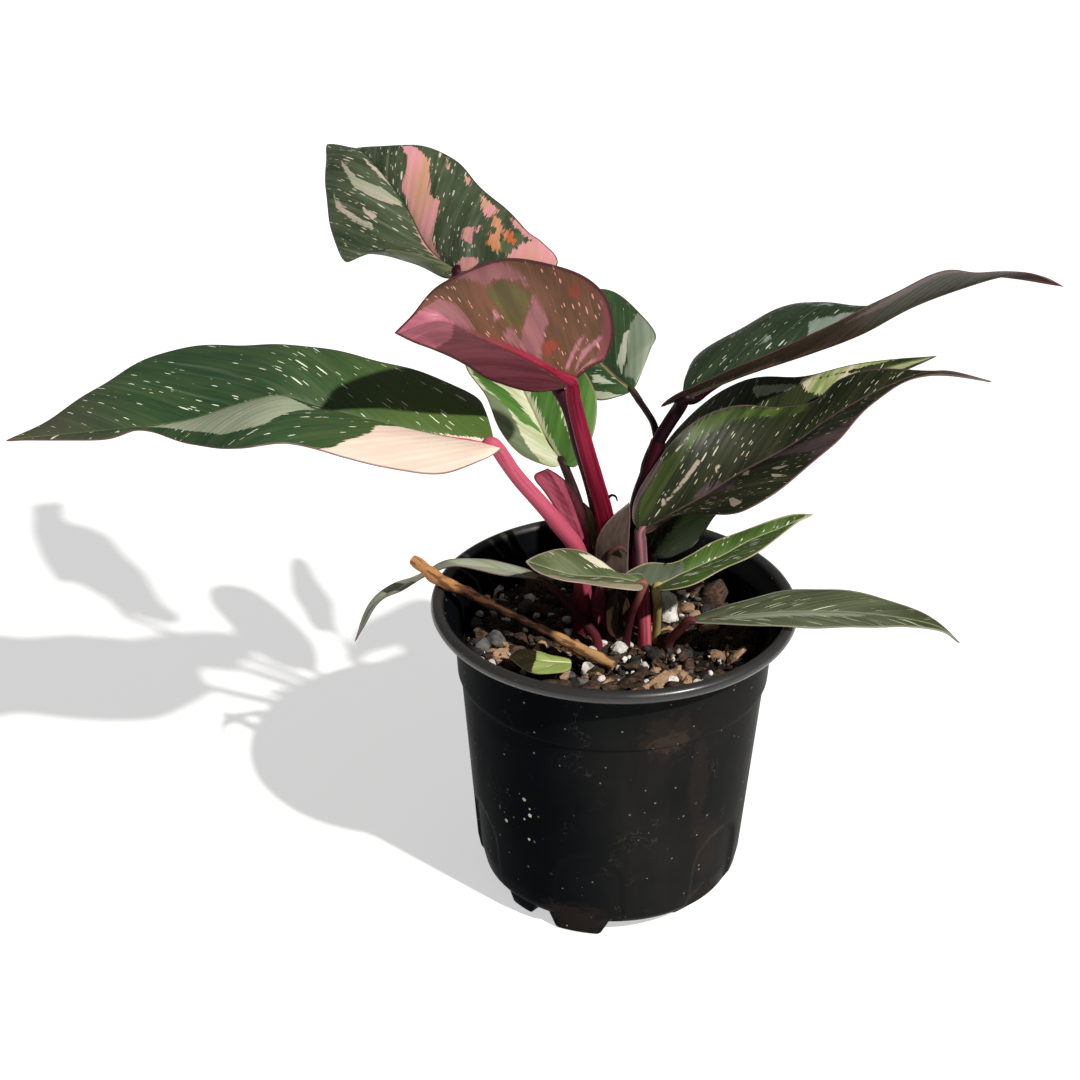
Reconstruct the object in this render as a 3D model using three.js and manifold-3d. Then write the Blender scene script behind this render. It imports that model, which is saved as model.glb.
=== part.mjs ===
import * as THREE from 'three';
import { mergeVertices } from 'three/addons/utils/BufferGeometryUtils.js';
import Module from 'manifold-3d';

// A pink princess philodendron in a 12 cm nursery pot.
// Millimetres, +Z up. The origin is on the ground under the middle of the pot, and the front faces -Y.

const wasm = await Module();
wasm.setup();

// Driving dimensions.
const GAP = 0.3;
const BLADE_THICKNESS = 0.8;
const VEIN_DROP = 0.5;
const VEIN_STEPS = 10;
const RIM_RADIUS = 60;
const POT_HEIGHT = 105;
const COLLAR_FOOT = 79;
const FLOOR_LOW = 8;
const FLOOR_TOP = 10;
const FOOT_TOP = 9;
const FOOT_INNER = 30;
const FOOT_OUTER = 43;
const NOTCH_HALF_WIDTH = 12.5;
const NOTCH_TOP = 13.3;
const NOTCH_RADIUS = 42.8;
const ARCH_WIDTH = 24;
const ARCH_FOOT = 4;
const ARCH_TOP = 35;
const ARCH_DEPTH = 0.7;
const DRAIN_RADIUS = 3;
const DRAIN_REACH = 27;
const PAD_RADIUS = 12;
const SOIL_TOP = 89.5;
const ROOT_DEPTH = 80;
const POT_SIDES = 48;

// Feet and arches round the pot, in degrees from the front towards +X. Each foot: angle, half width, sole radius.
const FEET = [[-105, 12, 40], [-46, 7, 41], [-15, 12, 43], [45, 12, 37.5], [105, 12, 40], [165, 12, 40]];
const ARCHES = [-130, -70, -10, 50, 110, 170];
const NARROW_FOOT = 8;

// Colours.
const BLACK_PLASTIC = 0x17181b;
const SOIL = 0x3a2b22;
const GREEN = 0x3f5a30;
const DARK_GREEN = 0x33402a;
const LIGHT_GREEN = 0x6d8a4a;
const CUP_PINK = 0x8a4a48;
const CRIMSON = 0x9c1f3f;
const PINK = 0xd8607a;
const MAROON = 0x3a1218;
const RED_STALK = 0x7a2a34;
const OLIVE_STALK = 0x9a8a4c;
const DRY_SHEATH = 0x5a4a44;
const DRY_WOOD = 0x9a6a3c;

const plant = new THREE.Group();

function finish(color, roughness) {
  return new THREE.MeshStandardMaterial({ color, roughness, metalness: 0 });
}

// ---------------------------------------------------------------- solids

function solidOf(geometry) {
  const plain = geometry.clone();
  plain.deleteAttribute('normal');
  plain.deleteAttribute('uv');
  const merged = mergeVertices(plain, 1e-4);
  const mesh = new wasm.Mesh({
    numProp: 3,
    vertProperties: new Float32Array(merged.attributes.position.array),
    triVerts: new Uint32Array(merged.index.array),
  });
  mesh.merge();
  return new wasm.Manifold(mesh);
}

function geometryOf(solid) {
  const mesh = solid.getMesh();
  const geometry = new THREE.BufferGeometry();
  geometry.setAttribute('position', new THREE.BufferAttribute(new Float32Array(mesh.vertProperties), 3));
  geometry.setIndex(new THREE.BufferAttribute(new Uint32Array(mesh.triVerts), 1));
  geometry.computeVertexNormals();
  return geometry;
}

// What is left of a body once its neighbours are cut away: its largest piece.
function mainPiece(solid) {
  return solid.decompose().reduce((best, piece) => (piece.volume() > best.volume() ? piece : best));
}

function cutClear(solid, cutters) {
  return mainPiece(cutters.reduce((rest, cutter) => rest.subtract(cutter), solid));
}

function addPiece(name, solid, color, roughness) {
  const mesh = new THREE.Mesh(geometryOf(solid), finish(color, roughness));
  mesh.name = name;
  plant.add(mesh);
}

// ---------------------------------------------------------------- curves, stalks and blades

function point(values) {
  return new THREE.Vector3(values[0], values[1], values[2]);
}

function curveThrough(points) {
  return new THREE.CatmullRomCurve3(points.map(point), false, 'catmullrom', 0.5);
}

function between(values, share) {
  const place = share * (values.length - 1);
  const low = Math.min(Math.floor(place), values.length - 2);
  return THREE.MathUtils.lerp(values[low], values[low + 1], place - low);
}

// A round stalk along a route, thick or thin as its radii say, closed at both ends.
// With grow above 0 it is the room that the stalk needs in its neighbours.
function stalk(route, radii, { sides = 8, steps = 9, grow = 0 } = {}) {
  const curve = curveThrough(route);
  const frames = curve.computeFrenetFrames(steps, false);
  const positions = [];
  const faces = [];
  const middles = frames.tangents.map((tangent, ring) => curve.getPointAt(ring / steps));
  middles[0].addScaledVector(frames.tangents[0], -grow);
  middles[steps].addScaledVector(frames.tangents[steps], grow);
  middles.forEach((middle, ring) => {
    const radius = between(radii, ring / steps) + grow;
    for (let side = 0; side < sides; side += 1) {
      const angle = (side / sides) * Math.PI * 2;
      const corner = middle.clone()
        .addScaledVector(frames.normals[ring], radius * Math.cos(angle))
        .addScaledVector(frames.binormals[ring], radius * Math.sin(angle));
      positions.push(corner.x, corner.y, corner.z);
    }
  });
  for (let ring = 0; ring < steps; ring += 1) {
    for (let side = 0; side < sides; side += 1) {
      const next = (side + 1) % sides;
      const a = ring * sides + side;
      const b = ring * sides + next;
      faces.push(a, b, b + sides, a, b + sides, a + sides);
    }
  }
  const start = positions.length / 3;
  positions.push(...middles[0].toArray(), ...middles[steps].toArray());
  for (let side = 0; side < sides; side += 1) {
    const next = (side + 1) % sides;
    faces.push(start, next, side);
    faces.push(start + 1, steps * sides + side, steps * sides + next);
  }
  const geometry = new THREE.BufferGeometry();
  geometry.setAttribute('position', new THREE.Float32BufferAttribute(positions, 3));
  geometry.setIndex(faces);
  return solidOf(geometry);
}

// The middle surface of a leaf: ribs run from the midrib to the two margins, which end in one tip.
// lobe is the share of each margin that belongs to the basal lobe, whose ribs all start at the stalk.
// cup says how far each half swells between midrib and margin, as a share of the rib's length.
function leafSheet({ midrib, right, left, lobe = 0.1, cup = [0.08, 0.08], ribs = 10, across = 3 }) {
  const spine = curveThrough(midrib);
  const ends = [midrib[0], midrib[midrib.length - 1]];
  const margins = [left, right].map((points) => curveThrough([ends[0], ...points, ends[1]]));
  const rootShare = (share) => Math.max(0, (share - lobe) / (1 - lobe));
  const swellings = margins.map((margin, side) => swelling(spine, margin, side, cup[1 - side]));

  const points = [];
  const known = new Map();
  const faces = [];
  const keep = (place) => {
    const key = place.toArray().map((value) => Math.round(value * 1000)).join();
    if (!known.has(key)) {
      known.set(key, points.length);
      points.push(place);
    }
    return known.get(key);
  };
  const ribRow = (share) => {
    const root = spine.getPointAt(rootShare(share));
    const row = [keep(root)];
    for (let step = 1; step <= across; step += 1) {
      const reach = step / across;
      margins.forEach((margin, side) => {
        const edge = margin.getPointAt(share);
        const lift = 4 * reach * (1 - reach) * edge.distanceTo(root);
        const index = keep(root.clone().lerp(edge, reach).addScaledVector(swellings[side], lift));
        if (side === 0) row.unshift(index);
        else row.push(index);
      });
    }
    return row;
  };
  const join = (a, b, c) => {
    if (a !== b && b !== c && a !== c) faces.push([a, b, c]);
  };

  const rows = [];
  const single = (place) => new Array(2 * across + 1).fill(keep(place));
  if (rootShare(1 / ribs) > 0) rows.push(single(spine.getPointAt(0)));
  for (let rib = 1; rib < ribs; rib += 1) rows.push(ribRow(rib / ribs));
  rows.push(single(spine.getPointAt(1)));
  for (let row = 0; row + 1 < rows.length; row += 1) {
    for (let column = 0; column < 2 * across; column += 1) {
      const [a, b] = [rows[row][column], rows[row][column + 1]];
      const [d, c] = [rows[row + 1][column], rows[row + 1][column + 1]];
      if (column < across) {
        join(a, b, c);
        join(a, c, d);
      } else {
        join(a, b, d);
        join(b, c, d);
      }
    }
  }
  return { points, faces };
}

// The direction that one half of a leaf swells in: square to the area between midrib and margin.
function swelling(spine, margin, side, amount) {
  const loop = [...margin.getSpacedPoints(24), ...spine.getSpacedPoints(24).reverse()];
  const area = new THREE.Vector3();
  loop.forEach((place, step) => area.add(place.clone().cross(loop[(step + 1) % loop.length])));
  const upward = side === 0 ? -1 : 1;
  return area.normalize().multiplyScalar(upward * amount);
}

// Gives a sheet its thickness: both faces are split into the same triangles.
// With spread above 0 the rim of the sheet is moved outwards as well.
function thicken({ points, faces }, thickness, spread = 0) {
  const normals = points.map(() => new THREE.Vector3());
  const rims = new Map();
  faces.forEach((face) => {
    const [a, b, c] = face.map((index) => points[index]);
    const area = b.clone().sub(a).cross(c.clone().sub(a));
    face.forEach((index) => normals[index].add(area));
    face.forEach((from, corner) => {
      const to = face[(corner + 1) % 3];
      if (!rims.delete(`${to},${from}`)) rims.set(`${from},${to}`, [from, to]);
    });
  });
  const outward = points.map(() => new THREE.Vector3());
  rims.forEach((ends) => {
    const along = points[ends[1]].clone().sub(points[ends[0]]);
    ends.forEach((index) => outward[index].add(along.clone().cross(normals[index]).normalize()));
  });
  const positions = [];
  [0.5, -0.5].forEach((share) => {
    points.forEach((place, index) => {
      const moved = place.clone()
        .addScaledVector(normals[index].clone().normalize(), share * thickness)
        .addScaledVector(outward[index].clone().normalize(), spread);
      positions.push(...moved.toArray());
    });
  });
  const under = points.length;
  const triangles = faces.flatMap(([a, b, c]) => [a, b, c, a + under, c + under, b + under]);
  rims.forEach(([from, to]) => triangles.push(from + under, to + under, to, from + under, to, from));
  const geometry = new THREE.BufferGeometry();
  geometry.setAttribute('position', new THREE.Float32BufferAttribute(positions, 3));
  geometry.setIndex(triangles);
  return solidOf(geometry);
}

// ---------------------------------------------------------------- the pot

function lathe(profile, sides = POT_SIDES) {
  const points = profile.map(([radius, height]) => new THREE.Vector2(radius, height));
  return solidOf(new THREE.LatheGeometry(points, sides).rotateX(Math.PI / 2));
}

const OUTER_WALL = [
  [0, FLOOR_LOW], [38.5, FLOOR_LOW], [40, 5.2], [42.6, 5.4], [44.3, 8], [45.2, 13],
  [50.4, COLLAR_FOOT - 0.6], [51.4, COLLAR_FOOT], [52.6, 97.5], [54.8, 100.6],
];
const INNER_WALL = [
  [0, FLOOR_TOP], [41, FLOOR_TOP], [41.4, 15], [43.4, 18], [48.8, COLLAR_FOOT - 1],
  [49.9, COLLAR_FOOT + 0.6], [51, 97.8], [55.6, 103],
];
const RIM = [
  [58.6, 100.8], [59.8, 101.6], [RIM_RADIUS, 102.8], [59.7, 104.2], [58.6, POT_HEIGHT], [57, 104.9],
];

function union(solids) {
  return solids.reduce((all, solid) => all.add(solid));
}

// Turns a body that reaches out along +X so that it points the given way round the pot.
function facing(solid, degrees) {
  return solid.rotate([0, 0, degrees - 90]);
}

// A shape drawn in elevation, pushed out along +X from the given radius.
function outward(corners, radius, depth) {
  const shape = new THREE.Shape(corners.map(([across, height]) => new THREE.Vector2(across, height)));
  const geometry = new THREE.ExtrudeGeometry(shape, { depth, bevelEnabled: false });
  geometry.rotateX(Math.PI / 2).rotateZ(Math.PI / 2).translate(radius, 0, 0);
  return solidOf(geometry);
}

// A round-topped panel that is sunk into the wall.
function archPanel() {
  const half = ARCH_WIDTH / 2;
  const corners = [[-half, ARCH_FOOT], [half, ARCH_FOOT]];
  const turns = 12;
  for (let turn = 0; turn <= turns; turn += 1) {
    const angle = (turn / turns) * Math.PI;
    corners.push([half * Math.cos(angle), ARCH_TOP - half + half * Math.sin(angle)]);
  }
  return outward(corners, 40, 12);
}

// The pointed opening that the skirt leaves above a wide foot.
function footNotch() {
  const half = NOTCH_HALF_WIDTH;
  return outward([[-half, 0], [half, 0], [half, 5], [0, NOTCH_TOP], [-half, 5]], NOTCH_RADIUS, 10);
}

function foot(halfWidth, soleRadius) {
  const sole = 0.6 * halfWidth;
  const under = [[-halfWidth, 5], [-sole, 0], [sole, 0], [halfWidth, 5]];
  const corners = [...under, [halfWidth, FOOT_TOP], [-halfWidth, FOOT_TOP]];
  const block = outward(corners, FOOT_INNER, FOOT_OUTER);
  const above = FOOT_TOP + 1;
  const skirt = [[0, -1], [soleRadius, -1], [soleRadius, 0], [FOOT_OUTER, 6], [FOOT_OUTER, above], [0, above]];
  return block.intersect(lathe(skirt));
}

function drainHole() {
  const hole = new THREE.CylinderGeometry(DRAIN_RADIUS, DRAIN_RADIUS, 2 * FLOOR_TOP, 16);
  return solidOf(hole.rotateX(Math.PI / 2).translate(DRAIN_REACH, 0, FLOOR_TOP));
}

function sunkWall() {
  const inset = OUTER_WALL.slice(3).map(([radius, height]) => [radius - ARCH_DEPTH, height]);
  return lathe([[0, 2], [inset[0][0], 2], ...inset, [0, inset[inset.length - 1][1]]]);
}

function pot() {
  const shell = lathe([...OUTER_WALL, ...RIM, ...INNER_WALL.slice().reverse()]);
  const panels = union(ARCHES.map((angle) => facing(archPanel(), angle))).subtract(sunkWall());
  const wide = FEET.filter(([, halfWidth]) => halfWidth > NARROW_FOOT);
  const notches = union(wide.map(([angle]) => facing(footNotch(), angle)));
  const feet = union(FEET.map(([angle, halfWidth, soleRadius]) => facing(foot(halfWidth, soleRadius), angle)));
  const pad = new THREE.CylinderGeometry(PAD_RADIUS, PAD_RADIUS, FLOOR_LOW + 1, 24);
  pad.rotateX(Math.PI / 2).translate(0, 0, (FLOOR_LOW + 1) / 2);
  const drains = union(ARCHES.map((angle) => facing(drainHole(), angle)));
  return shell.subtract(panels).subtract(notches).add(feet).add(solidOf(pad)).subtract(drains);
}

// ---------------------------------------------------------------- the leaves

// Each leaf is drawn by its midrib and by its two margins, from the stalk to the tip. Right and left
// are as seen from above with the tip ahead. The stalk's route runs from the soil up to the blade.
const LEAVES = [
  {
    name: 'top',
    color: GREEN,
    midrib: [[-51, 26, 208], [-61, 44, 209], [-71, 68, 217], [-85, 92, 225], [-91, 110, 219], [-93, 122, 210]],
    right: [[-46, 20, 206], [-35, 15, 206], [-26, 12, 208], [-19.4, 14, 215.6], [-24.3, 20, 220], [-29, 29, 220.4],
      [-36, 46, 222], [-45, 60, 224], [-53, 75, 228], [-64, 84, 230], [-76, 91, 227]],
    left: [[-55, 25, 206], [-67, 42, 205], [-81, 51, 204], [-89, 53, 200.6], [-94, 67, 205.6], [-97.6, 83, 214.6],
      [-98.6, 101, 219.6], [-98.4, 110, 221.6]],
    lobe: 0.24,
    cup: [0.08, 0.1],
    ribs: 14,
    across: 4,
    vein: 1.4,
    stalk: {
      route: [[-8, 15, ROOT_DEPTH], [-7, 14, 100], [-4.6, 13, 117], [-6.8, 12, 135], [-12, 11, 154], [-17, 10, 171],
        [-27, 14, 182], [-43, 19, 192], [-53.5, 23, 200.5]],
      radii: [2.4, 2.3, 2.1, 1.9, 1.7],
      color: MAROON,
    },
  },
  {
    name: 'cupped',
    color: CUP_PINK,
    midrib: [[-15, -4, 183], [-23, -10, 191], [-32, -17, 199], [-43, -24, 207], [-54, -31, 215], [-67, -34, 212]],
    right: [[-9, 2, 186], [-4, 6, 188], [-2, 8, 196], [-5, 7, 208], [-14, 0, 218], [-31, -13, 227],
      [-44, -23, 228], [-55, -30, 225], [-62, -33, 217]],
    left: [[-19, -2, 180], [-28, -1, 179], [-40, -7, 185], [-47, -13, 193], [-56, -21, 201], [-62, -27, 206]],
    lobe: 0.16,
    cup: [-0.16, -0.06],
    ribs: 14,
    across: 4,
    vein: 1.8,
    stalk: {
      route: [[-2.8, 6.6, ROOT_DEPTH], [-2.4, 6.6, 105], [-2, 7, 121], [-4, 5, 134], [-6.9, 3, 146],
        [-10.8, 1, 161], [-14, -1, 175]],
      radii: [3.2, 3.3, 3.2, 2.8, 2.6, 2.2],
      color: CRIMSON,
    },
  },
  {
    name: 'left_long',
    color: GREEN,
    midrib: [[-39, -4, 162], [-56, -4, 165], [-74, -5, 170], [-93, -5, 175], [-105, -6, 179], [-119, -7, 176],
      [-133, -9, 172], [-151, -11, 170], [-189, -14, 167]],
    right: [[-41, -1, 163], [-42, 10, 167], [-47, 17, 170], [-65, 23, 175], [-86, 23, 181], [-104, 17, 186],
      [-129, 24, 183], [-149, 21, 180], [-164, 9, 175], [-177, -5, 170]],
    left: [[-36, -4, 161], [-42, -15, 162], [-53, -28, 164], [-67, -33, 167], [-83, -35, 172], [-99, -35, 177],
      [-113, -40, 177], [-130, -26, 172], [-147, -13, 170], [-159, -17, 169]],
    lobe: 0.09,
    cup: [0.06, 0.06],
    ribs: 16,
    across: 4,
    vein: 1.4,
    stalk: {
      route: [[-10.4, 4.2, ROOT_DEPTH], [-10.2, 4, 105], [-12, 3, 120], [-18, 2, 130], [-24, 0, 139],
        [-32, -2, 150]],
      radii: [3.2, 3.6, 3.2, 2.9, 2.6],
      color: PINK,
    },
  },
  {
    name: 'back_left',
    color: LIGHT_GREEN,
    midrib: [[-17, 26, 141], [-22, 34, 145], [-28, 46, 153], [-34, 60, 159], [-42, 78, 164]],
    right: [[-13, 23, 141], [-9, 26, 146], [-6, 34, 154], [-7, 42, 161], [-15, 56, 167], [-28, 71, 168]],
    left: [[-21, 25, 140], [-31, 30, 142], [-38, 38, 147], [-43, 50, 154], [-50, 64, 158], [-50, 75, 162]],
    lobe: 0.12,
    cup: [0.06, 0.06],
    stalk: {
      route: [[-7, 24, ROOT_DEPTH], [-7.5, 22, 105], [-9, 21, 119], [-12, 22, 129], [-14, 24, 134]],
      radii: [1.9, 1.7, 1.5],
      color: MAROON,
    },
  },
  {
    name: 'back_right',
    color: LIGHT_GREEN,
    midrib: [[6, 42, 160], [1, 50, 161], [-4, 60, 162], [-10, 74, 163], [-17, 92, 163]],
    right: [[8, 44, 163], [12, 51, 171], [13.8, 55, 175], [8.6, 69, 177], [0, 89, 177], [-9, 96, 173]],
    left: [[2, 42, 158], [-5, 45, 155], [-11, 54, 154], [-17, 74, 157]],
    lobe: 0.08,
    cup: [0.06, 0.06],
    stalk: {
      route: [[13.2, 15.6, 155.2], [12.2, 22, 157.4], [10.5, 28, 158.3], [8.2, 35, 159.2]],
      radii: [1.3, 1.1, 1.1, 1.2],
      color: MAROON,
      steps: 6,
    },
  },
  {
    name: 'upper_right',
    color: DARK_GREEN,
    midrib: [[21, 14, 170], [39, 15, 178], [61, 18, 184.8], [77, 20, 190.8], [92, 22, 198.8], [108, 24, 204.6],
      [122, 26, 208], [133, 26, 207.6], [140, 24, 205]],
    right: [[14, 14, 167], [20, 10, 174], [38, 7, 185], [56, 7, 193], [67, 3, 202], [81, 6, 208],
      [99, 8, 216], [113, 18, 212], [129, 25, 209]],
    left: [[22, 21, 172], [24, 31, 175], [29, 36, 178], [42, 42, 183], [56, 49, 188], [65, 48, 190],
      [77, 37, 192.6], [91, 29, 197.4], [115, 29, 206]],
    lobe: 0.08,
    cup: [0.05, 0.1],
    ribs: 16,
    across: 4,
    vein: 1.2,
    stalk: {
      route: [[10, 13, 147], [13.5, 14.6, 154.5], [16.5, 15.5, 160], [18.9, 16, 164], [20.2, 15, 167]],
      radii: [2.5, 2.4, 2.3],
      sheath: {
        route: [[9, 10, ROOT_DEPTH], [7.6, 10.5, 105], [6.7, 11, 120], [6.9, 11, 128], [7.9, 11.2, 136],
          [10, 11.9, 142.9], [12.1, 13.2, 149.7], [13.6, 14.4, 154.6]],
        radii: [3, 3, 2.9, 2.7, 2.4],
      },
      color: MAROON,
    },
  },
  {
    name: 'middle_right',
    color: DARK_GREEN,
    midrib: [[8, 4, 127], [18, 5, 133], [29, 7, 139], [40, 9, 146], [56, 11, 155], [71, 13, 166], [87, 15, 174.6],
      [102, 15, 179.8], [118, 12, 177.6]],
    right: [[13, 4, 130], [22, 1, 136], [33, -16, 144], [42, -21, 150], [56, -14, 157], [67, -9, 166],
      [81, 6, 173], [97, 13, 178.8]],
    left: [[5.5, 2, 132.3], [6, 5.2, 138.4], [11, 8.6, 146.8], [19, 12.4, 157.1], [29, 20, 161.7], [40, 25, 162.4],
      [54, 26, 162.1], [64, 24, 165], [73, 26, 172], [90, 21, 178]],
    lobe: 0.14,
    cup: [0.06, 0.08],
    ribs: 16,
    across: 4,
    vein: 1.4,
    stalk: {
      route: [[10.3, -4, ROOT_DEPTH], [10.2, -4, 93], [9.2, -1, 108], [8.6, 2, 119]],
      radii: [2.3, 2.2, 1.9],
      color: PINK,
      steps: 7,
    },
  },
  {
    name: 'behind_right',
    color: DARK_GREEN,
    midrib: [[12, 14, 114], [25, 19, 128], [40, 24, 141], [56, 29, 154], [72, 33, 164], [88, 36, 171],
      [105, 38, 175]],
    right: [[15, 3, 118], [23, -11, 129], [28, -6, 132.6], [34, 3, 136], [47, 8, 144.5], [68, 16, 159.5],
      [90, 29, 171]],
    left: [[9, 25, 117], [11, 38, 125], [18, 49, 136.4], [28, 56, 146.6], [44, 55, 158], [62, 44, 165],
      [84, 40, 171.8]],
    lobe: 0.14,
    cup: [-0.04, 0.06],
    ribs: 14,
    across: 4,
    stalk: {
      route: [[15, 11, ROOT_DEPTH], [14.5, 12, 95], [13.5, 13, 105]],
      radii: [2.3, 2, 1.8],
      color: MAROON,
      steps: 6,
    },
  },
  {
    name: 'low_centre',
    color: LIGHT_GREEN,
    midrib: [[9, -12, 117], [-2, -12, 119], [-13, -11, 119], [-22, -10, 121], [-29, -9, 123]],
    right: [[8, -8, 118], [1, -9, 119], [-5, -5, 121.5], [-11, -2, 123.6], [-17.5, -2, 124.2], [-24, -4.6, 123.3]],
    left: [[7, -20, 119], [-2, -22, 121], [-10, -20, 121], [-18, -20, 122], [-25, -16, 123]],
    lobe: 0.1,
    cup: [0.08, 0.04],
    stalk: {
      route: [[4.2, -5, ROOT_DEPTH], [4.2, -6, 93], [5.5, -9, 104], [7.5, -11, 111]],
      radii: [1.5, 1.3, 1.2],
      color: RED_STALK,
      steps: 6,
    },
  },
  {
    name: 'low_right_short',
    color: LIGHT_GREEN,
    midrib: [[13, -9, 114], [23, -6, 118], [34, -3, 122], [43, 0, 126], [53, 3, 129], [64, 6, 133]],
    right: [[15, -17, 117], [23, -20, 121], [33, -17, 125], [42, -16, 129], [51, -8, 131], [58, 3, 131]],
    left: [[7, -6, 114], [3, -4, 115.5], [10, -2, 118.6], [18, -3, 119.4], [24, -1.4, 121.6], [32, 2, 125],
      [45, 5, 129], [57, 7, 132]],
    lobe: 0.2,
    cup: [0.04, 0.05],
    ribs: 12,
    stalk: {
      route: [[14.6, 1, ROOT_DEPTH], [14.2, 0, 92], [14, -4, 103]],
      radii: [1.5, 1.4, 1.3],
      color: OLIVE_STALK,
      steps: 6,
    },
  },
  {
    name: 'low_right_long',
    color: GREEN,
    midrib: [[24, -10, 102], [37, -12, 105], [56, -14, 108], [75, -16, 109], [92, -18, 108], [103, -20, 106],
      [110, -21, 101]],
    right: [[25, -11, 102], [40, -18, 105], [58, -22, 107], [77, -24, 108], [92, -23, 108], [103, -22, 106]],
    left: [[24, -8, 102], [41, -6, 107], [60, -4, 111], [79, -7, 111], [93, -11, 109], [102, -16, 107]],
    lobe: 0,
    cup: [0.05, 0.05],
    stalk: {
      route: [[17.6, -6, ROOT_DEPTH], [18, -6, 91], [20.6, -8, 96.5]],
      radii: [1.7, 1.6, 1.4],
      color: RED_STALK,
      steps: 6,
    },
  },
  {
    name: 'low_left',
    color: GREEN,
    midrib: [[-23, 4, 109], [-38, 10, 109.4], [-54, 14, 108.6], [-62, 18, 104], [-71, 20, 97], [-79, 19, 92],
      [-83, 17, 86], [-87, 16, 78]],
    right: [[-28, 9, 110], [-36, 13, 110.4], [-44, 16, 110.4], [-54, 17, 109], [-65, 22, 101], [-75, 23, 96],
      [-82, 21, 90]],
    left: [[-28, 3, 110], [-37, 5, 110.4], [-46, 8, 110.4], [-54, 11, 109.6], [-63, 16, 103], [-71, 16, 98],
      [-78, 14, 94]],
    lobe: 0,
    cup: [0.05, 0.05],
    stalk: {
      route: [[-4.6, -4.4, ROOT_DEPTH], [-5.4, -4.4, 91], [-8.5, -3.6, 96], [-13, -2, 101], [-18, 1, 105]],
      radii: [1.6, 1.5, 1.2],
      color: RED_STALK,
    },
  },
];

// Leaf-like sheaths that stand at the crown, and a torn piece of an old leaf on the soil.
const SHEATHS = [
  {
    name: 'sheath_pink',
    color: PINK,
    beside: ['left_long', 'cupped', 'top'],
    midrib: [[-8.8, 8.6, 113], [-12.2, 7, 127], [-17, 5, 140], [-22, 3.5, 150]],
    right: [[-7.6, 9, 118], [-9.4, 8.6, 131.6], [-13, 7.6, 140], [-18, 6, 146]],
    left: [[-12.5, 7.4, 118], [-16.5, 5.2, 130], [-20.5, 3.2, 141], [-24, 2.4, 148]],
    lobe: 0,
    cup: [-0.15, -0.15],
  },
  {
    name: 'sheath_grey',
    color: DRY_SHEATH,
    beside: ['cupped', 'middle_right'],
    midrib: [[2.4, -1.6, 93], [1.2, -1.2, 104], [-0.6, -0.6, 117], [-0.4, 0.2, 126], [1.8, 1.4, 133],
      [4.2, 3.8, 138]],
    right: [[4.4, 0.4, 98], [4.4, 0.8, 108], [4.2, 1.2, 118], [4.4, 2, 126], [4.6, 3.2, 133]],
    left: [[-1.8, -0.6, 98], [-3.6, 0, 108], [-6, 0.6, 118], [-6, 0.8, 126], [-2.4, 0.9, 133]],
    lobe: 0,
    cup: [0.1, 0.1],
  },
];

const FRAGMENT = {
  midrib: [[-14, -25, 95], [-21, -25, 95.4], [-27, -24, 95.4], [-34, -22, 94.6]],
  right: [[-15, -23, 95.2], [-21, -21, 95.6], [-25, -19, 96], [-31, -17, 95]],
  left: [[-15, -31, 95.8], [-21, -33, 96], [-26, -33, 96], [-30, -29, 95.4]],
  lobe: 0,
  cup: [0.05, 0.05],
  ribs: 7,
  across: 2,
};

const MAIN_STEM = { route: [[0, 15, ROOT_DEPTH - 4], [0.4, 15, 96], [0.4, 15.4, 112]], radii: [4.4, 3.8, 2.8] };
const STICK = {
  route: [[-0.5, -23, 92.9], [-20, -12.8, 97.9], [-40, -2.6, 103.1], [-57, 6.3, 107.5], [-66.5, 12.5, 111.5]],
  radii: [1.5, 1.9, 1.8, 1.4, 1.4, 1.5, 2, 1.9, 2.3, 1.7],
};

function stemRoom(stem, sides = 8) {
  return stalk(stem.route, stem.radii, { sides, steps: stem.steps ?? 9, grow: GAP });
}

function stemSolid(stem, sides = 8) {
  return stalk(stem.route, stem.radii, { sides, steps: stem.steps ?? 9 });
}

// The raised midrib on the underside of a large blade, thinning out before the tip.
function veinRidge(leaf, grow = 0) {
  const spine = curveThrough(leaf.midrib);
  const ends = [leaf.midrib[0], leaf.midrib[leaf.midrib.length - 1]];
  const [left, right] = [leaf.left, leaf.right].map((edge) => curveThrough([ends[0], ...edge, ends[1]]));
  const radii = [leaf.vein, leaf.vein * 0.75, 0.7];
  const route = [];
  for (let step = 0; step <= VEIN_STEPS; step += 1) {
    const share = THREE.MathUtils.lerp(0.03, 0.85, step / VEIN_STEPS);
    const reach = leaf.lobe + share * (1 - leaf.lobe);
    const across = right.getPointAt(reach).sub(left.getPointAt(reach));
    const down = spine.getTangentAt(share).cross(across).normalize();
    const drop = between(radii, step / VEIN_STEPS) * VEIN_DROP;
    route.push(spine.getPointAt(share).addScaledVector(down, drop).toArray());
  }
  return stalk(route, radii, { sides: 5, steps: VEIN_STEPS, grow });
}

function bladeSolid(leaf) {
  const blade = thicken(leafSheet(leaf), BLADE_THICKNESS);
  return leaf.vein ? blade.add(veinRidge(leaf)) : blade;
}

function bladeRoom(leaf) {
  const room = thicken(leafSheet(leaf), BLADE_THICKNESS + 2.6 * GAP, 2 * GAP);
  return leaf.vein ? room.add(veinRidge(leaf, 1.3 * GAP)) : room;
}

// ---------------------------------------------------------------- the soil

const SOIL_BED = [
  [0, FLOOR_TOP + GAP], [40.7, FLOOR_TOP + GAP], [41.1, 15.1], [43, 18.2], [48.4, COLLAR_FOOT - 0.8],
  [49.5, COLLAR_FOOT + 0.8], [50.2, SOIL_TOP - 1.5], [30, SOIL_TOP + 0.6], [0, SOIL_TOP],
];
const BARK = 'bark';
const PERLITE = 'perlite';
const CHARCOAL = 'charcoal';

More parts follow.
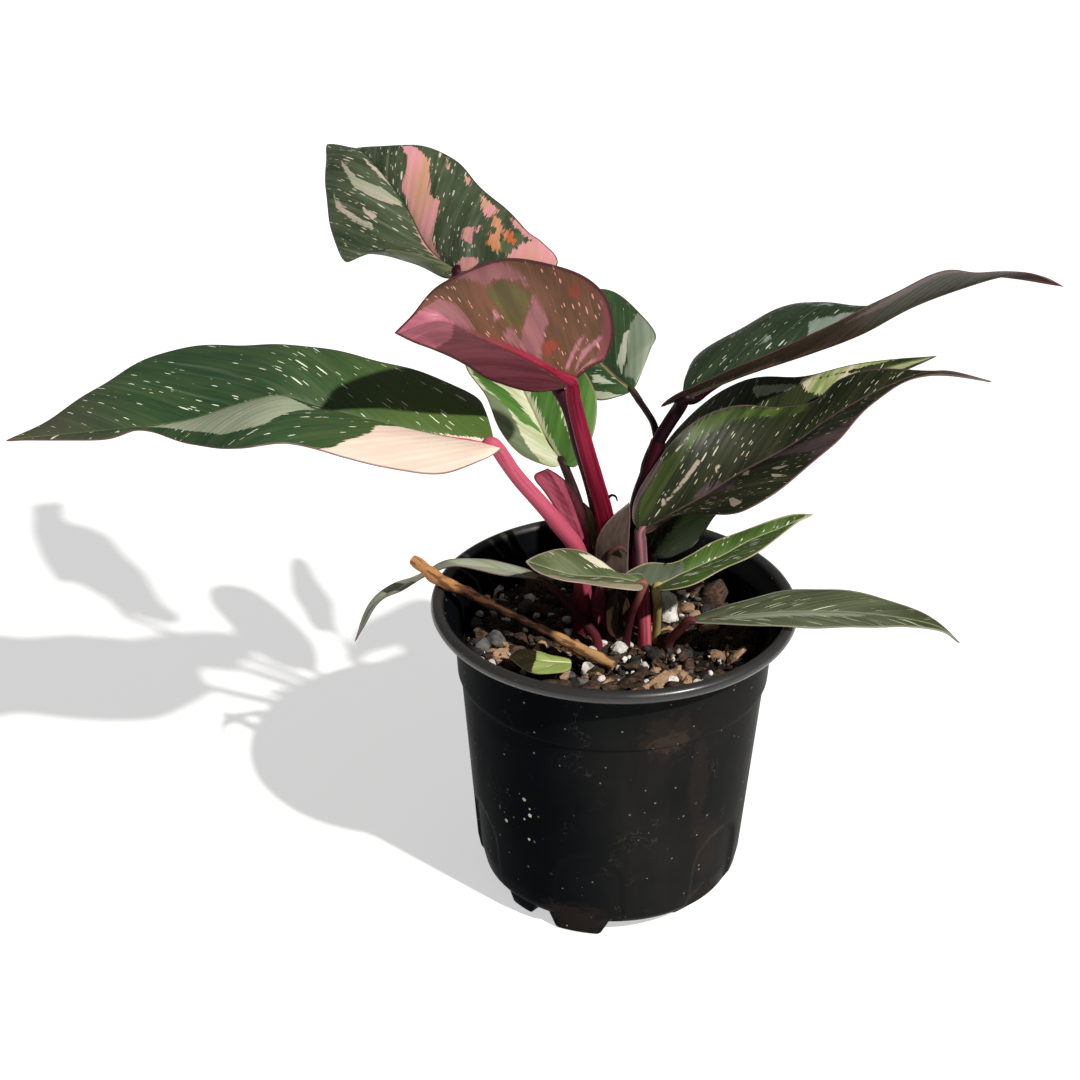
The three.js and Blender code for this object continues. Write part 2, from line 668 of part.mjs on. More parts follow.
// Lumps that lie in known places: kind, x, y and size.
const PLACED_LUMPS = [
  [PERLITE, 20, 13, 8.5], [PERLITE, -38, 8, 6.5], [PERLITE, -41, 31, 5.5], [PERLITE, -27, 12, 4.5],
  [PERLITE, -8, -24, 5.5], [PERLITE, 2, -12, 5], [PERLITE, 18, -27, 4.5], [PERLITE, 26, -28, 4],
  [CHARCOAL, -38, -7, 10], [CHARCOAL, -45, 4, 6], [CHARCOAL, -29, 17, 6.5], [CHARCOAL, -37, 21, 6],
  [CHARCOAL, 10, -16, 5.5], [CHARCOAL, -23, -26, 10], [BARK, -44, 25, 8], [BARK, 5, -27, 9], [BARK, 14, -29, 7],
  [BARK, -18, -32, 9], [BARK, -10, -34, 8], [BARK, 35, 27, 12], [BARK, 28, 33, 9], [BARK, 38, 1, 8],
  [BARK, -37, -24, 8],
];
const LOOSE_LUMPS = 64;
const LUMP_FIELD = 46;
const GOLDEN_ANGLE = Math.PI * (3 - Math.sqrt(5));

// A number from 0 to 1 that is always the same for the same seed.
function chance(seed) {
  const value = Math.sin(seed * 12.9898) * 43758.5453;
  return value - Math.floor(value);
}

function looseLumps() {
  const lumps = [];
  for (let index = 0; index < LOOSE_LUMPS; index += 1) {
    const radius = LUMP_FIELD * Math.sqrt((index + 0.5) / LOOSE_LUMPS);
    const angle = index * GOLDEN_ANGLE;
    const draw = chance(index + 1);
    const kind = draw < 0.55 ? BARK : draw < 0.75 ? CHARCOAL : PERLITE;
    const size = kind === PERLITE ? 3 + 2 * chance(index + 101) : 5 + 4 * chance(index + 101);
    lumps.push([kind, radius * Math.cos(angle), radius * Math.sin(angle), size]);
  }
  return lumps;
}

function lump([kind, x, y, size], index) {
  const shape = kind === BARK
    ? new THREE.BoxGeometry(size, size * 0.7, size * 0.6)
    : new (kind === PERLITE ? THREE.IcosahedronGeometry : THREE.OctahedronGeometry)(size * 0.55, 0);
  shape.rotateX(chance(index + 201) * 0.9 - 0.45);
  shape.rotateY(chance(index + 301) * 0.9 - 0.45);
  shape.rotateZ(chance(index + 401) * Math.PI);
  shape.translate(x, y, SOIL_TOP + size * (kind === BARK ? 0.06 : 0.12));
  return solidOf(shape);
}

function soilMix(holes) {
  const lumps = [...PLACED_LUMPS, ...looseLumps()].map(lump);
  const wall = SOIL_BED.slice(0, 6);
  const top = wall[wall.length - 1][0] + 0.3;
  const fill = lathe([...wall, [top, POT_HEIGHT], [0, POT_HEIGHT]]);
  return cutClear(lumps.reduce((all, piece) => all.add(piece), lathe(SOIL_BED)).intersect(fill), holes);
}

// ---------------------------------------------------------------- assembly

LEAVES.forEach((leaf) => leaf.stalk.route.push(leaf.midrib[0]));
const inSoil = [MAIN_STEM, STICK, ...LEAVES.map((leaf) => leaf.stalk.sheath ?? leaf.stalk)];
const fragmentRoom = thicken(leafSheet(FRAGMENT), BLADE_THICKNESS + 2 * GAP);
const sheathed = LEAVES.find((leaf) => leaf.stalk.sheath).stalk;
const rightStem = stemRoom(sheathed.sheath).add(stemRoom(sheathed));

addPiece('pot', pot(), BLACK_PLASTIC, 0.35);
addPiece('soil_mix', soilMix([...inSoil.map((stem) => stemRoom(stem)), fragmentRoom]), SOIL, 0.95);
addPiece('main_stem', stemSolid(MAIN_STEM), MAROON, 0.6);
LEAVES.forEach((leaf) => {
  addPiece(`blade_${leaf.name}`, bladeSolid(leaf), leaf.color, 0.5);
  const room = leaf.name === 'back_right' ? [bladeRoom(leaf), rightStem] : [bladeRoom(leaf)];
  const whole = leaf.stalk.sheath ? stemSolid(leaf.stalk).add(stemSolid(leaf.stalk.sheath)) : stemSolid(leaf.stalk);
  addPiece(`stalk_${leaf.name}`, cutClear(whole, room), leaf.stalk.color, 0.45);
});
SHEATHS.forEach((sheath) => {
  const beside = LEAVES.filter((leaf) => sheath.beside.includes(leaf.name)).map((leaf) => stemRoom(leaf.stalk));
  addPiece(sheath.name, cutClear(thicken(leafSheet(sheath), BLADE_THICKNESS), beside), sheath.color, 0.6);
});
addPiece('dry_stick', stemSolid(STICK), DRY_WOOD, 0.85);
addPiece('leaf_fragment', thicken(leafSheet(FRAGMENT), BLADE_THICKNESS), LIGHT_GREEN, 0.5);

export default plant;
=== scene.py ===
"""A pink princess philodendron in its black nursery pot: finished pieces, floor, light and camera."""
import math

import bmesh
import bpy
import numpy as np
from mathutils import Matrix, Vector


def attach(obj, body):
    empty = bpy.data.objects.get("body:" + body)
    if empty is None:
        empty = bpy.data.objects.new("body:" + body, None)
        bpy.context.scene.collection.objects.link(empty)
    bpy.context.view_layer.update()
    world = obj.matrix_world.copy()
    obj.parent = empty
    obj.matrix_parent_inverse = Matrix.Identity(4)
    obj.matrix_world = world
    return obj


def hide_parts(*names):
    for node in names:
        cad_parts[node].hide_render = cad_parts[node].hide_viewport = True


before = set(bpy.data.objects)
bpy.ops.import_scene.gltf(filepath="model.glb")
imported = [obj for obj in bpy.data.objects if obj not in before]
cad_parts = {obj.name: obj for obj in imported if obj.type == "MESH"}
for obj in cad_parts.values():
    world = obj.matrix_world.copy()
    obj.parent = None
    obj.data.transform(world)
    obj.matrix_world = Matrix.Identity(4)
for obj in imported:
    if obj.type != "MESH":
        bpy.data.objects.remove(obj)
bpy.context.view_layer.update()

MM = 0.001
BODY = "root"
TURN = 2 * math.pi
HERE = (0, 0, 0)

# ---------------------------------------------------------------- the plant's outlines, in millimetres

# Each leaf: its midrib and its right and left margins from stalk to tip, and its stalk's route from the soil.
# The lobe is the share of a margin that lies behind the stalk, and the cup is how far each half bellies.
LEAVES = {
    "top": dict(
        midrib=[(-51, 26, 208), (-61, 44, 209), (-71, 68, 217), (-85, 92, 225), (-91, 110, 219),
            (-93, 122, 210)],
        right=[(-46, 20, 206), (-35, 15, 206), (-26, 12, 208), (-19.4, 14, 215.6), (-24.3, 20, 220),
            (-29, 29, 220.4), (-36, 46, 222), (-45, 60, 224), (-53, 75, 228), (-64, 84, 230), (-76, 91, 227)],
        left=[(-55, 25, 206), (-67, 42, 205), (-81, 51, 204), (-89, 53, 200.6), (-94, 67, 205.6),
            (-97.6, 83, 214.6), (-98.6, 101, 219.6), (-98.4, 110, 221.6)],
        lobe=0.24, cup=(0.08, 0.1),
        route=[(-8, 15, 80), (-7, 14, 100), (-4.6, 13, 117), (-6.8, 12, 135), (-12, 11, 154), (-17, 10, 171),
            (-27, 14, 182), (-43, 19, 192), (-53.5, 23, 200.5)],
        radii=(2.4, 2.3, 2.1, 1.9, 1.7)),
    "cupped": dict(
        midrib=[(-15, -4, 183), (-23, -10, 191), (-32, -17, 199), (-43, -24, 207), (-54, -31, 215),
            (-67, -34, 212)],
        right=[(-19, -2, 180), (-28, -1, 179), (-40, -7, 185), (-47, -13, 193), (-56, -21, 201),
            (-62, -27, 206)],
        left=[(-9, 2, 186), (-4, 6, 188), (-2, 8, 196), (-5, 7, 208), (-14, 0, 218), (-31, -13, 227),
            (-44, -23, 228), (-55, -30, 225), (-62, -33, 217)],
        lobe=0.16, cup=(0.06, 0.16),
        route=[(-2.8, 6.6, 80), (-2.4, 6.6, 105), (-2, 7, 121), (-4, 5, 134), (-6.9, 3, 146), (-10.8, 1, 161),
            (-14, -1, 175)],
        radii=(3.2, 3.3, 3.2, 2.8, 2.6, 2.2)),
    "left_long": dict(
        midrib=[(-39, -4, 162), (-56, -4, 165), (-74, -5, 170), (-93, -5, 175), (-105, -6, 179),
            (-119, -7, 176), (-133, -9, 172), (-151, -11, 170), (-189, -14, 167)],
        right=[(-41, -1, 163), (-42, 10, 167), (-47, 17, 170), (-65, 23, 175), (-86, 23, 181),
            (-104, 17, 186), (-129, 24, 183), (-149, 21, 180), (-164, 9, 175), (-177, -5, 170)],
        left=[(-36, -4, 161), (-42, -15, 162), (-53, -28, 164), (-67, -33, 167), (-83, -35, 172),
            (-99, -35, 177), (-113, -40, 177), (-130, -26, 172), (-147, -13, 170), (-159, -17, 169)],
        lobe=0.09, cup=(0.06, 0.06),
        route=[(-10.4, 4.2, 80), (-10.2, 4, 105), (-12, 3, 120), (-18, 2, 130), (-24, 0, 139),
            (-32, -2, 150)],
        radii=(2.752, 3.096, 2.752, 2.494, 2.236)),
    "back_left": dict(
        midrib=[(-17, 26, 141), (-22, 34, 145), (-28, 46, 153), (-34, 60, 159), (-42, 78, 164)],
        right=[(-13, 23, 141), (-9, 26, 146), (-6, 34, 154), (-7, 42, 161), (-15, 56, 167), (-28, 71, 168)],
        left=[(-21, 25, 140), (-31, 30, 142), (-38, 38, 147), (-43, 50, 154), (-50, 64, 158), (-50, 75, 162)],
        lobe=0.12, cup=(0.06, 0.06),
        route=[(-7, 24, 80), (-7.5, 22, 105), (-9, 21, 119), (-12, 22, 129), (-14, 24, 134)],
        radii=(1.9, 1.7, 1.5)),
    "back_right": dict(
        midrib=[(6, 42, 160), (1, 50, 161), (-4, 60, 162), (-10, 74, 163), (-17, 92, 163)],
        right=[(8, 44, 163), (12, 51, 171), (13.8, 55, 175), (8.6, 69, 177), (0, 89, 177), (-9, 96, 173)],
        left=[(2, 42, 158), (-5, 45, 155), (-11, 54, 154), (-17, 74, 157)],
        lobe=0.08, cup=(0.06, 0.06),
        route=[(13.2, 15.6, 155.2), (12.2, 22, 157.4), (10.5, 28, 158.3), (8.2, 35, 159.2)],
        radii=(1.3, 1.1, 1.1, 1.2)),
    "upper_right": dict(
        midrib=[(21, 14, 170), (39, 15, 178), (61, 18, 184.8), (77, 20, 190.8), (92, 22, 198.8),
            (108, 24, 204.6), (122, 26, 208), (133, 26, 207.6), (140, 24, 205)],
        right=[(14, 14, 167), (20, 10, 174), (38, 7, 185), (56, 7, 193), (67, 3, 202), (81, 6, 208),
            (99, 8, 216), (113, 18, 212), (129, 25, 209)],
        left=[(22, 21, 172), (24, 31, 175), (29, 36, 178), (42, 42, 183), (56, 49, 188), (65, 48, 190),
            (77, 37, 192.6), (91, 29, 197.4), (115, 29, 206)],
        lobe=0.08, cup=(0.05, 0.1),
        route=[(8.4, 11.4, 138), (10.4, 13, 147), (13.5, 14.6, 154.5), (16.5, 15.5, 160), (18.9, 16, 164),
            (20.2, 15, 167)],
        radii=(1.2, 2.2, 2.2, 2.2, 2.2),
        sheath=[(9, 10, 80), (7.6, 10.5, 105), (6.7, 11, 120), (6.9, 11, 128), (7.9, 11.2, 136),
            (10, 11.9, 142.9), (12.1, 13.2, 149.7), (13.6, 14.4, 154.6)],
        sheath_radii=(3, 3, 2.9, 2.8, 2.7, 2.7, 2.65, 2.55)),
    "middle_right": dict(
        midrib=[(8, 4, 127), (18, 5, 133), (29, 7, 139), (40, 9, 146), (56, 11, 155), (71, 13, 166),
            (87, 15, 174.6), (102, 15, 179.8), (118, 12, 177.6)],
        right=[(13, 4, 130), (22, 1, 136), (33, -16, 144), (42, -21, 150), (56, -14, 157), (67, -9, 166),
            (81, 6, 173), (97, 13, 178.8)],
        left=[(5.5, 2, 132.3), (6, 5.2, 138.4), (11, 8.6, 146.8), (19, 12.4, 157.1), (29, 20, 161.7),
            (40, 25, 162.4), (54, 26, 162.1), (64, 24, 165), (73, 26, 172), (90, 21, 178)],
        lobe=0.14, cup=(0.06, 0.08),
        route=[(10.3, -4, 80), (10.2, -4, 93), (9.2, -1, 108), (8.6, 2, 119)],
        radii=(2.3, 2.2, 1.9)),
    "behind_right": dict(
        midrib=[(12, 14, 114), (25, 19, 128), (40, 24, 141), (56, 29, 154), (72, 33, 164), (88, 36, 171),
            (105, 38, 175)],
        right=[(15, 3, 118), (23, -11, 129), (28, -6, 132.6), (34, 3, 136), (47, 8, 144.5), (68, 16, 159.5),
            (90, 29, 171)],
        left=[(9, 25, 117), (11, 38, 125), (18, 49, 136.4), (28, 56, 146.6), (44, 55, 158), (62, 44, 165),
            (84, 40, 171.8)],
        lobe=0.14, cup=(-0.04, 0.06),
        route=[(15, 11, 80), (14.5, 12, 95), (13.5, 13, 105)],
        radii=(2.3, 2, 1.8)),
    "low_centre": dict(
        midrib=[(9, -12, 117), (-2, -12, 119), (-13, -11, 119), (-22, -10, 121), (-29, -9, 123)],
        right=[(8, -8, 118), (1, -9, 119), (-5, -5, 121.5), (-11, -2, 123.6), (-17.5, -2, 124.2),
            (-24, -4.6, 123.3)],
        left=[(7, -20, 119), (-2, -22, 121), (-10, -20, 121), (-18, -20, 122), (-25, -16, 123)],
        lobe=0.1, cup=(0.08, 0.04),
        route=[(4.2, -5, 80), (4.2, -6, 93), (5.5, -9, 104), (7.5, -11, 111)],
        radii=(1.5, 1.3, 1.2)),
    "low_right_short": dict(
        midrib=[(13, -9, 114), (23, -6, 118), (34, -3, 122), (43, 0, 126), (53, 3, 129), (64, 6, 133)],
        right=[(15, -17, 117), (23, -20, 121), (33, -17, 125), (42, -16, 129), (51, -8, 131), (58, 3, 131)],
        left=[(7, -6, 114), (3, -4, 115.5), (10, -2, 118.6), (18, -3, 119.4), (24, -1.4, 121.6), (32, 2, 125),
            (45, 5, 129), (57, 7, 132)],
        lobe=0.2, cup=(0.04, 0.05),
        route=[(14.6, 1, 80), (14.2, 0, 92), (14, -4, 103)],
        radii=(1.5, 1.4, 1.3)),
    "low_right_long": dict(
        midrib=[(24, -10, 102), (37, -12, 105), (56, -14, 108), (75, -16, 109), (92, -18, 108),
            (103, -20, 106), (110, -21, 101)],
        right=[(25, -11, 102), (40, -18, 105), (58, -22, 107), (77, -24, 108), (92, -23, 108),
            (103, -22, 106)],
        left=[(24, -8, 102), (41, -6, 107), (60, -4, 111), (79, -7, 111), (93, -11, 109), (102, -16, 107)],
        lobe=0, cup=(0.05, 0.05),
        route=[(17.6, -6, 80), (18, -6, 91), (20.6, -8, 96.5)],
        radii=(1.7, 1.6, 1.4)),
    "low_left": dict(
        midrib=[(-23, 4, 109), (-38, 10, 109.4), (-54, 14, 108.6), (-62, 18, 104), (-71, 20, 97),
            (-79, 19, 92), (-83, 17, 86), (-87, 16, 78)],
        right=[(-28, 9, 110), (-36, 13, 110.4), (-44, 16, 110.4), (-54, 17, 109), (-65, 22, 101),
            (-75, 23, 96), (-82, 21, 90)],
        left=[(-28, 3, 110), (-37, 5, 110.4), (-46, 8, 110.4), (-54, 11, 109.6), (-63, 16, 103),
            (-71, 16, 98), (-78, 14, 94)],
        lobe=0, cup=(0.05, 0.05),
        route=[(-4.6, -4.4, 80), (-5.4, -4.4, 91), (-8.5, -3.6, 96), (-13, -2, 101), (-18, 1, 105)],
        radii=(1.6, 1.5, 1.2)),
}
# The short stem, the stick and the small pieces at the crown and on the soil. A sheet has a midrib and two margins
# like a leaf's, and a stem has a route and radii. Each has its material slot, source nodes, mesh and skin.
SHEATH_SHAPE = dict(rows=60, columns=10, ridge=0.2, wave=0.1)
BIT_SHAPE = dict(rows=30, columns=8, thickness=0.4, ridge=0.1, wave=0.2)
DRY = dict(veins=0.0, lengthwise=True)
SMALL_PIECES = {
    "short_stem": dict(
        route=[(0, 15, 76), (0.4, 15, 96), (0.4, 15.4, 112)], radii=(4.4, 3.8, 2.8),
        slot="stalk_maroon", nodes=["main_stem"], shape=dict(lump=0.12),
        skin=dict(name="short_stem_bark", low="2c1a16", middle="3a2220", high="4a2a26")),
    "winged_sheath": dict(
        midrib=[(-8.8, 8.6, 113), (-12.2, 7, 127), (-17, 5, 140), (-22, 3.5, 150)],
        right=[(-7.6, 9, 118), (-9.4, 8.6, 131.6), (-13, 7.6, 140), (-18, 6, 146)],
        left=[(-12.5, 7.4, 118), (-17, 5.2, 130), (-22.6, 3.2, 141), (-26.4, 2.4, 147.6)],
        lobe=0, cup=(-0.15, -0.15), slot="stalk_pink", nodes=["sheath_pink"],
        shape=SHEATH_SHAPE,
        skin=dict(name="pink_sheath_skin", dark="7c3040", light="98485a", flecks="c8808c", fleck_keep=0.04,
            fine_keep=0.04, margin="4c1826", seed=3.0, **DRY)),
    "dry_wrap": dict(
        midrib=[(2.4, -1.6, 93), (1.2, -1.2, 104), (-0.6, -0.6, 117), (-0.4, 0.2, 126), (1.8, 1.4, 133),
            (4.2, 3.8, 138)],
        right=[(4.4, 0.4, 98), (4.4, 0.8, 108), (4.2, 1.2, 118), (4.4, 2, 126), (4.6, 3.2, 133)],
        left=[(-1.8, -0.6, 98), (-3.6, 0, 108), (-6, 0.6, 118), (-6, 0.8, 126), (-2.4, 0.9, 133)],
        lobe=0, cup=(0.1, 0.1), slot="dry_sheath", nodes=["sheath_grey"],
        shape=SHEATH_SHAPE,
        skin=dict(name="dry_sheath_skin", dark="2a211d", light="4a3b34", flecks="66564e", fleck_keep=0.05,
            fine_keep=0.05, margin="6a5a50", seed=5.0, roughness=0.6, **DRY)),
    "torn_leaf": dict(
        midrib=[(-14, -25, 95), (-21, -25, 95.4), (-27, -24, 95.4), (-34, -22, 94.6)],
        right=[(-15, -23, 95.2), (-21, -21, 95.6), (-25, -19, 96), (-31, -17, 95)],
        left=[(-15, -31, 95.8), (-21, -33, 96), (-26, -33, 96), (-30, -29, 95.4)],
        lobe=0, cup=(0.05, 0.05), slot="leaf_light", nodes=["leaf_fragment"],
        # This sector darkens the leaf's left end as painted shadow.
        sectors={"dead": [[(104, -120), (104, 120), (52, 120), (60, -120)]]},
        shape=dict(rows=40, columns=8, ridge=0.3, wave=0.2),
        skin=dict(name="torn_leaf_skin", dark="7c8c48", light="a3b068", flecks="d4d8ac", seed=6.0,
            # The first sector's dark colours are painted shadow.
            sectors=[("dead", "242010", "302a16", 1.5)], margin="6a6a40", margin_width=0.4, midrib="dde0b8",
            midrib_end=12)),
    "dry_twig": dict(
        route=[(-0.5, -23, 92.9), (-20, -12.8, 97.9), (-40, -2.6, 103.1), (-57, 6.3, 107.5),
            (-66.5, 12.5, 111.5)],
        radii=(1.5, 1.9, 1.8, 1.4, 1.4, 1.5, 2, 1.9, 2.3, 1.7),
        slot="dry_wood", nodes=["dry_stick"], shape=dict(lump=0.2, rings=140),
        # The twig's dark middle stretch is painted shadow.
        skin=dict(name="dry_twig_bark", low="ac8458", middle="241711", high="ac7c50", stops=(20, 24, 55, 60),
            streak="2e1f16", streak_share=0.35, roughness=0.75, spots="5a3a26")),
    "brown_scale": dict(
        midrib=[(1.4, -5, 92), (1.2, -6.4, 102), (0.8, -5.6, 111)],
        right=[(4.4, -4.6, 95), (4.8, -4.8, 105)], left=[(-2, -5, 95), (-2.4, -5, 105)],
        lobe=0, cup=(-0.25, -0.25), slot="dry_sheath", nodes=(), shape=BIT_SHAPE,
        skin=dict(name="brown_scale_skin", dark="241a12", light="3a2e1e", flecks="3a2e1e", margin="3a1a1a",
            seed=7.0, roughness=0.55, **DRY)),
    "pink_scale": dict(
        midrib=[(-5.2, -3, 96), (-5.4, -3.8, 104), (-4.6, -2.6, 111.5)],
        right=[(-3.2, -3, 100), (-2.8, -2.4, 107)], left=[(-7.2, -2, 100), (-7.4, -1.6, 107)],
        lobe=0, cup=(-0.2, -0.2), slot="dry_sheath", nodes=(), shape=BIT_SHAPE,
        skin=dict(name="pink_scale_skin", dark="5e2030", light="94485a", flecks="94485a", margin="4a1420",
            seed=8.0, roughness=0.55, **DRY)),
    "back_strip": dict(
        midrib=[(-4.5, 10, 112), (-7.6, 9, 126), (-12.6, 9, 137)],
        right=[(-3.6, 10, 118), (-7.6, 9.4, 131.5)], left=[(-6.6, 9.4, 116), (-10.4, 8.8, 129)],
        lobe=0, cup=(0.1, 0.1), slot="dry_sheath", nodes=(), shape=BIT_SHAPE,
        skin=dict(name="back_strip_skin", dark="3c3824", light="5a5a3e", flecks="5a5a3e", margin="6e5c50",
            seed=9.0, roughness=0.55, **DRY)),
    "curled_lip": dict(
        route=[(-2.6, -1.6, 119.6), (-1.4, -2.2, 123.2), (1.4, -2.4, 124.8), (3.8, -2, 122.6)],
        radii=(0.5, 0.8, 0.8, 0.4), slot="dry_sheath", nodes=(), shape=dict(rings=20),
        skin=dict(name="curled_lip_skin", low="4a2e2c", middle="7c5452", high="5c3a38", roughness=0.6)),
    "black_hook": dict(
        route=[(-2.9, 4.4, 138.8), (-1.6, 4.4, 140.1), (-0.2, 4.2, 139.8), (0.4, 4, 138.2)],
        radii=(0.5, 0.45, 0.35, 0.2), slot="dry_sheath", nodes=(), shape=dict(rings=16),
        skin=dict(name="black_hook_skin", low="0c0809", middle="0c0809", high="140d0c", roughness=0.7)),
}

# Coloured sectors of the leaves. Each outline is drawn in hundredths of the way along the leaf and across it:
# 0 is the midrib, 100 the right margin and -100 the left one.
SECTORS = {
    "top": {
        "olive": [[(7, -104), (23, -97), (33, -65), (26, -31), (28, -4), (7, -7)], [(27, 45), (33, 88),
            (31, 98), (24, 60)]],
        "pale": [[(76, -60), (65, -41), (60, -13), (55, -3), (53, -5), (56, -28), (62, -52)], [(63, -87),
            (55, -71), (48, -49), (45, -45), (51, -69), (58, -86)], [(56, -54), (51, -38), (49, -46)],
            [(75, -14), (65, 2), (60, -1), (69, -12)]],
        "pink": [[(72, 73), (71, 86), (59, 54), (53, 36), (50, 42), (40, 10), (27, -6), (51, 0), (59, 11),
            (68, 53)], [(25, -5), (28, 17), (26, 28), (5, -10)], [(50, 92), (43, 91), (39, 71), (44, 76)],
            [(64, 94), (62, 89), (58, 82), (60, 79)], [(66, 72), (62, 67), (61, 59)], [(57, 92), (55, 98),
            (52, 86)], [(39, 45), (38, 55), (32, 38), (35, 35)], [(38, 57), (38, 64), (35, 54)], [(40, 95),
            (32, 103), (26, 100), (29, 90)], [(24, 53), (28, 86), (28, 102), (18, 104), (18, 70)]],
        "orange": [[(41, 80), (39, 85), (34, 78), (34, 71), (37, 74)], [(35, 80), (32, 85), (27, 74),
            (29, 67)], [(35, 68), (33, 71), (27, 61), (25, 49), (30, 51)]],
    },
    "cupped": {
        "mauve": [[(82, -103), (66, -97), (50, -68), (57, -72), (65, -72), (66, -61), (75, -80)], [(50, -68),
            (38, -42), (34, -4), (46, -4), (47, -46)], [(55, -13), (52, -21), (45, -4), (53, -4)], [(90, -50),
            (83, -52), (67, -6), (72, 0), (82, 0)]],
        "olive": [[(66, -58), (62, -72), (49, -61), (47, -28), (52, -23), (63, -46)]],
        "pink": [[(34, -97), (25, -104), (10, -104), (12, -71), (23, -88)]],
        "red": [[(41, -86), (37, -89), (35, -79), (38, -76)], [(36, -18), (33, -30), (29, -28), (32, -10)]],
        "lines": [[(17, -20), (18, -55), (19, -92), (20, -92), (20, -50)], [(20, -14), (23, -60), (24, -60),
            (22, -12)], [(61, -38), (57, -28), (59, -23)], [(13, -20), (13, -84), (14, -84), (15, -20)]],
        "rose": [[(101, 100), (97, -82), (84, -12), (80, 0), (54, 0), (28, 10), (16, 35), (4, 104)]],
        # This sector is a lighter pink over the tip end, painted sunlight.
        "blush": [[(101, 100), (99, -90), (91, -62), (84, -14), (78, 0), (72, 50), (74, 100)]],
    },
    "left_long": {
        "grey": [[(76, -29), (69, -6), (56, 1), (50, 1), (42, -20), (45, -36), (50, -68), (58, -78),
            (66, -62)]],
        "cream": [[(-2, 6), (12, 6), (26, -2), (31, -20), (32, -45), (38, -91), (42, -104), (-2, -104)]],
    },
    "back_left": {
        # This sector is the grey-green strip along the left margin, darkened with painted shade.
        "dusk": [[(77, -104), (58, -97), (46, -60), (37, -54), (18, -65), (9, -94), (4, -104)]],
        "green": [[(75, -92), (57, -47), (34, -6), (30, -8), (37, -40), (58, -89)], [(-2, 8), (-2, 104),
            (62, 104), (74, 60), (56, 10), (36, 8), (18, 10)]],
        "streak": [[(52, 45), (30, 40), (20, 50), (40, 70)]],
    },
    "back_right": {
        "white": [[(36, 43), (31, 20), (22, 12), (33, 62), (36, 84), (40, 64)], [(38, -45), (34, -28),
            (18, -17), (33, -57)], [(27, -74), (19, -61), (6, -79), (13, -104), (22, -104)]],
        "grey": [[(18, 15), (4, 56), (11, 104), (44, 104), (40, 72), (30, 44)]],
    },
    "upper_right": {
        "grey": [[(39, -10), (41, -37), (53, -50), (50, -5)], [(28, -34), (31, -44), (32, -34)], [(43, -77),
            (48, -90), (48, -77)]],
        "mauve": [[(48, 60), (58, 86), (68, 104), (88, 104), (72, 84), (58, 50)]],
        "olive": [[(52, 4), (56, 44), (70, 78), (82, 80), (84, 2)]],
    },
    "middle_right": {
        # This sector is a lighter green band along the far margin, painted sunlight.
        "bright": [[(30, -92), (42, -96), (58, -96), (58, -72), (45, -77), (32, -72), (27, -70)]],
        "green": [[(9, -20), (12, -62), (18, -86), (27, -85), (27, -66), (20, -44), (16, -18)]],
        "mauve": [[(-2, -104), (-2, -78), (14, -74), (22, -88), (15, -104)], [(34, -11), (38, 24), (35, 42),
            (28, -6)], [(47, -10), (58, 64), (70, 102), (50, 102), (53, 78), (49, 36)]],
        "pale": [[(30, -49), (31, -43), (26, -30), (20, -17), (20, -21)], [(21, -37), (21, -32), (20, -22),
            (19, -25)], [(29, -87), (29, -83), (24, -78), (25, -83)], [(36, -27), (34, -17), (34, -27)],
            [(42, 6), (40, 32), (39, 18)], [(33, 56), (34, 84), (31, 86)], [(44, 45), (48, 72), (45, 63)],
            [(43, 60), (46, 93), (43, 74)]],
    },
    "behind_right": {
        "cream": [[(69, -78), (79, -59), (86, 0), (99, 0), (99, 68), (90, 63), (80, -30), (71, -6),
            (68, -38)], [(68, -82), (74, -103), (95, -103), (88, -64), (80, -62)]],
        "grey": [[(56, -82), (68, -71), (65, -56), (56, -60)]],
        # This sector is a lighter green patch on the right half, painted sunlight.
        "bright": [[(8, 30), (16, 104), (52, 104), (46, 20), (24, 4)]],
    },
    "low_centre": {
        "cream": [[(58, 78), (47, 96), (28, 80), (41, 44), (54, 62)]],
        "beige": [[(77, -104), (77, -78), (57, -66), (36, -70), (15, -46), (8, -104)]],
    },
    "low_right_short": {"grey": [[(6, -104), (34, -93), (39, -63), (34, 14), (24, 60), (14, -20)]]},
    "low_right_long": {"grey": [[(8, 4), (35, 6), (66, 12), (60, 34), (30, 42), (10, 50)]]},
}
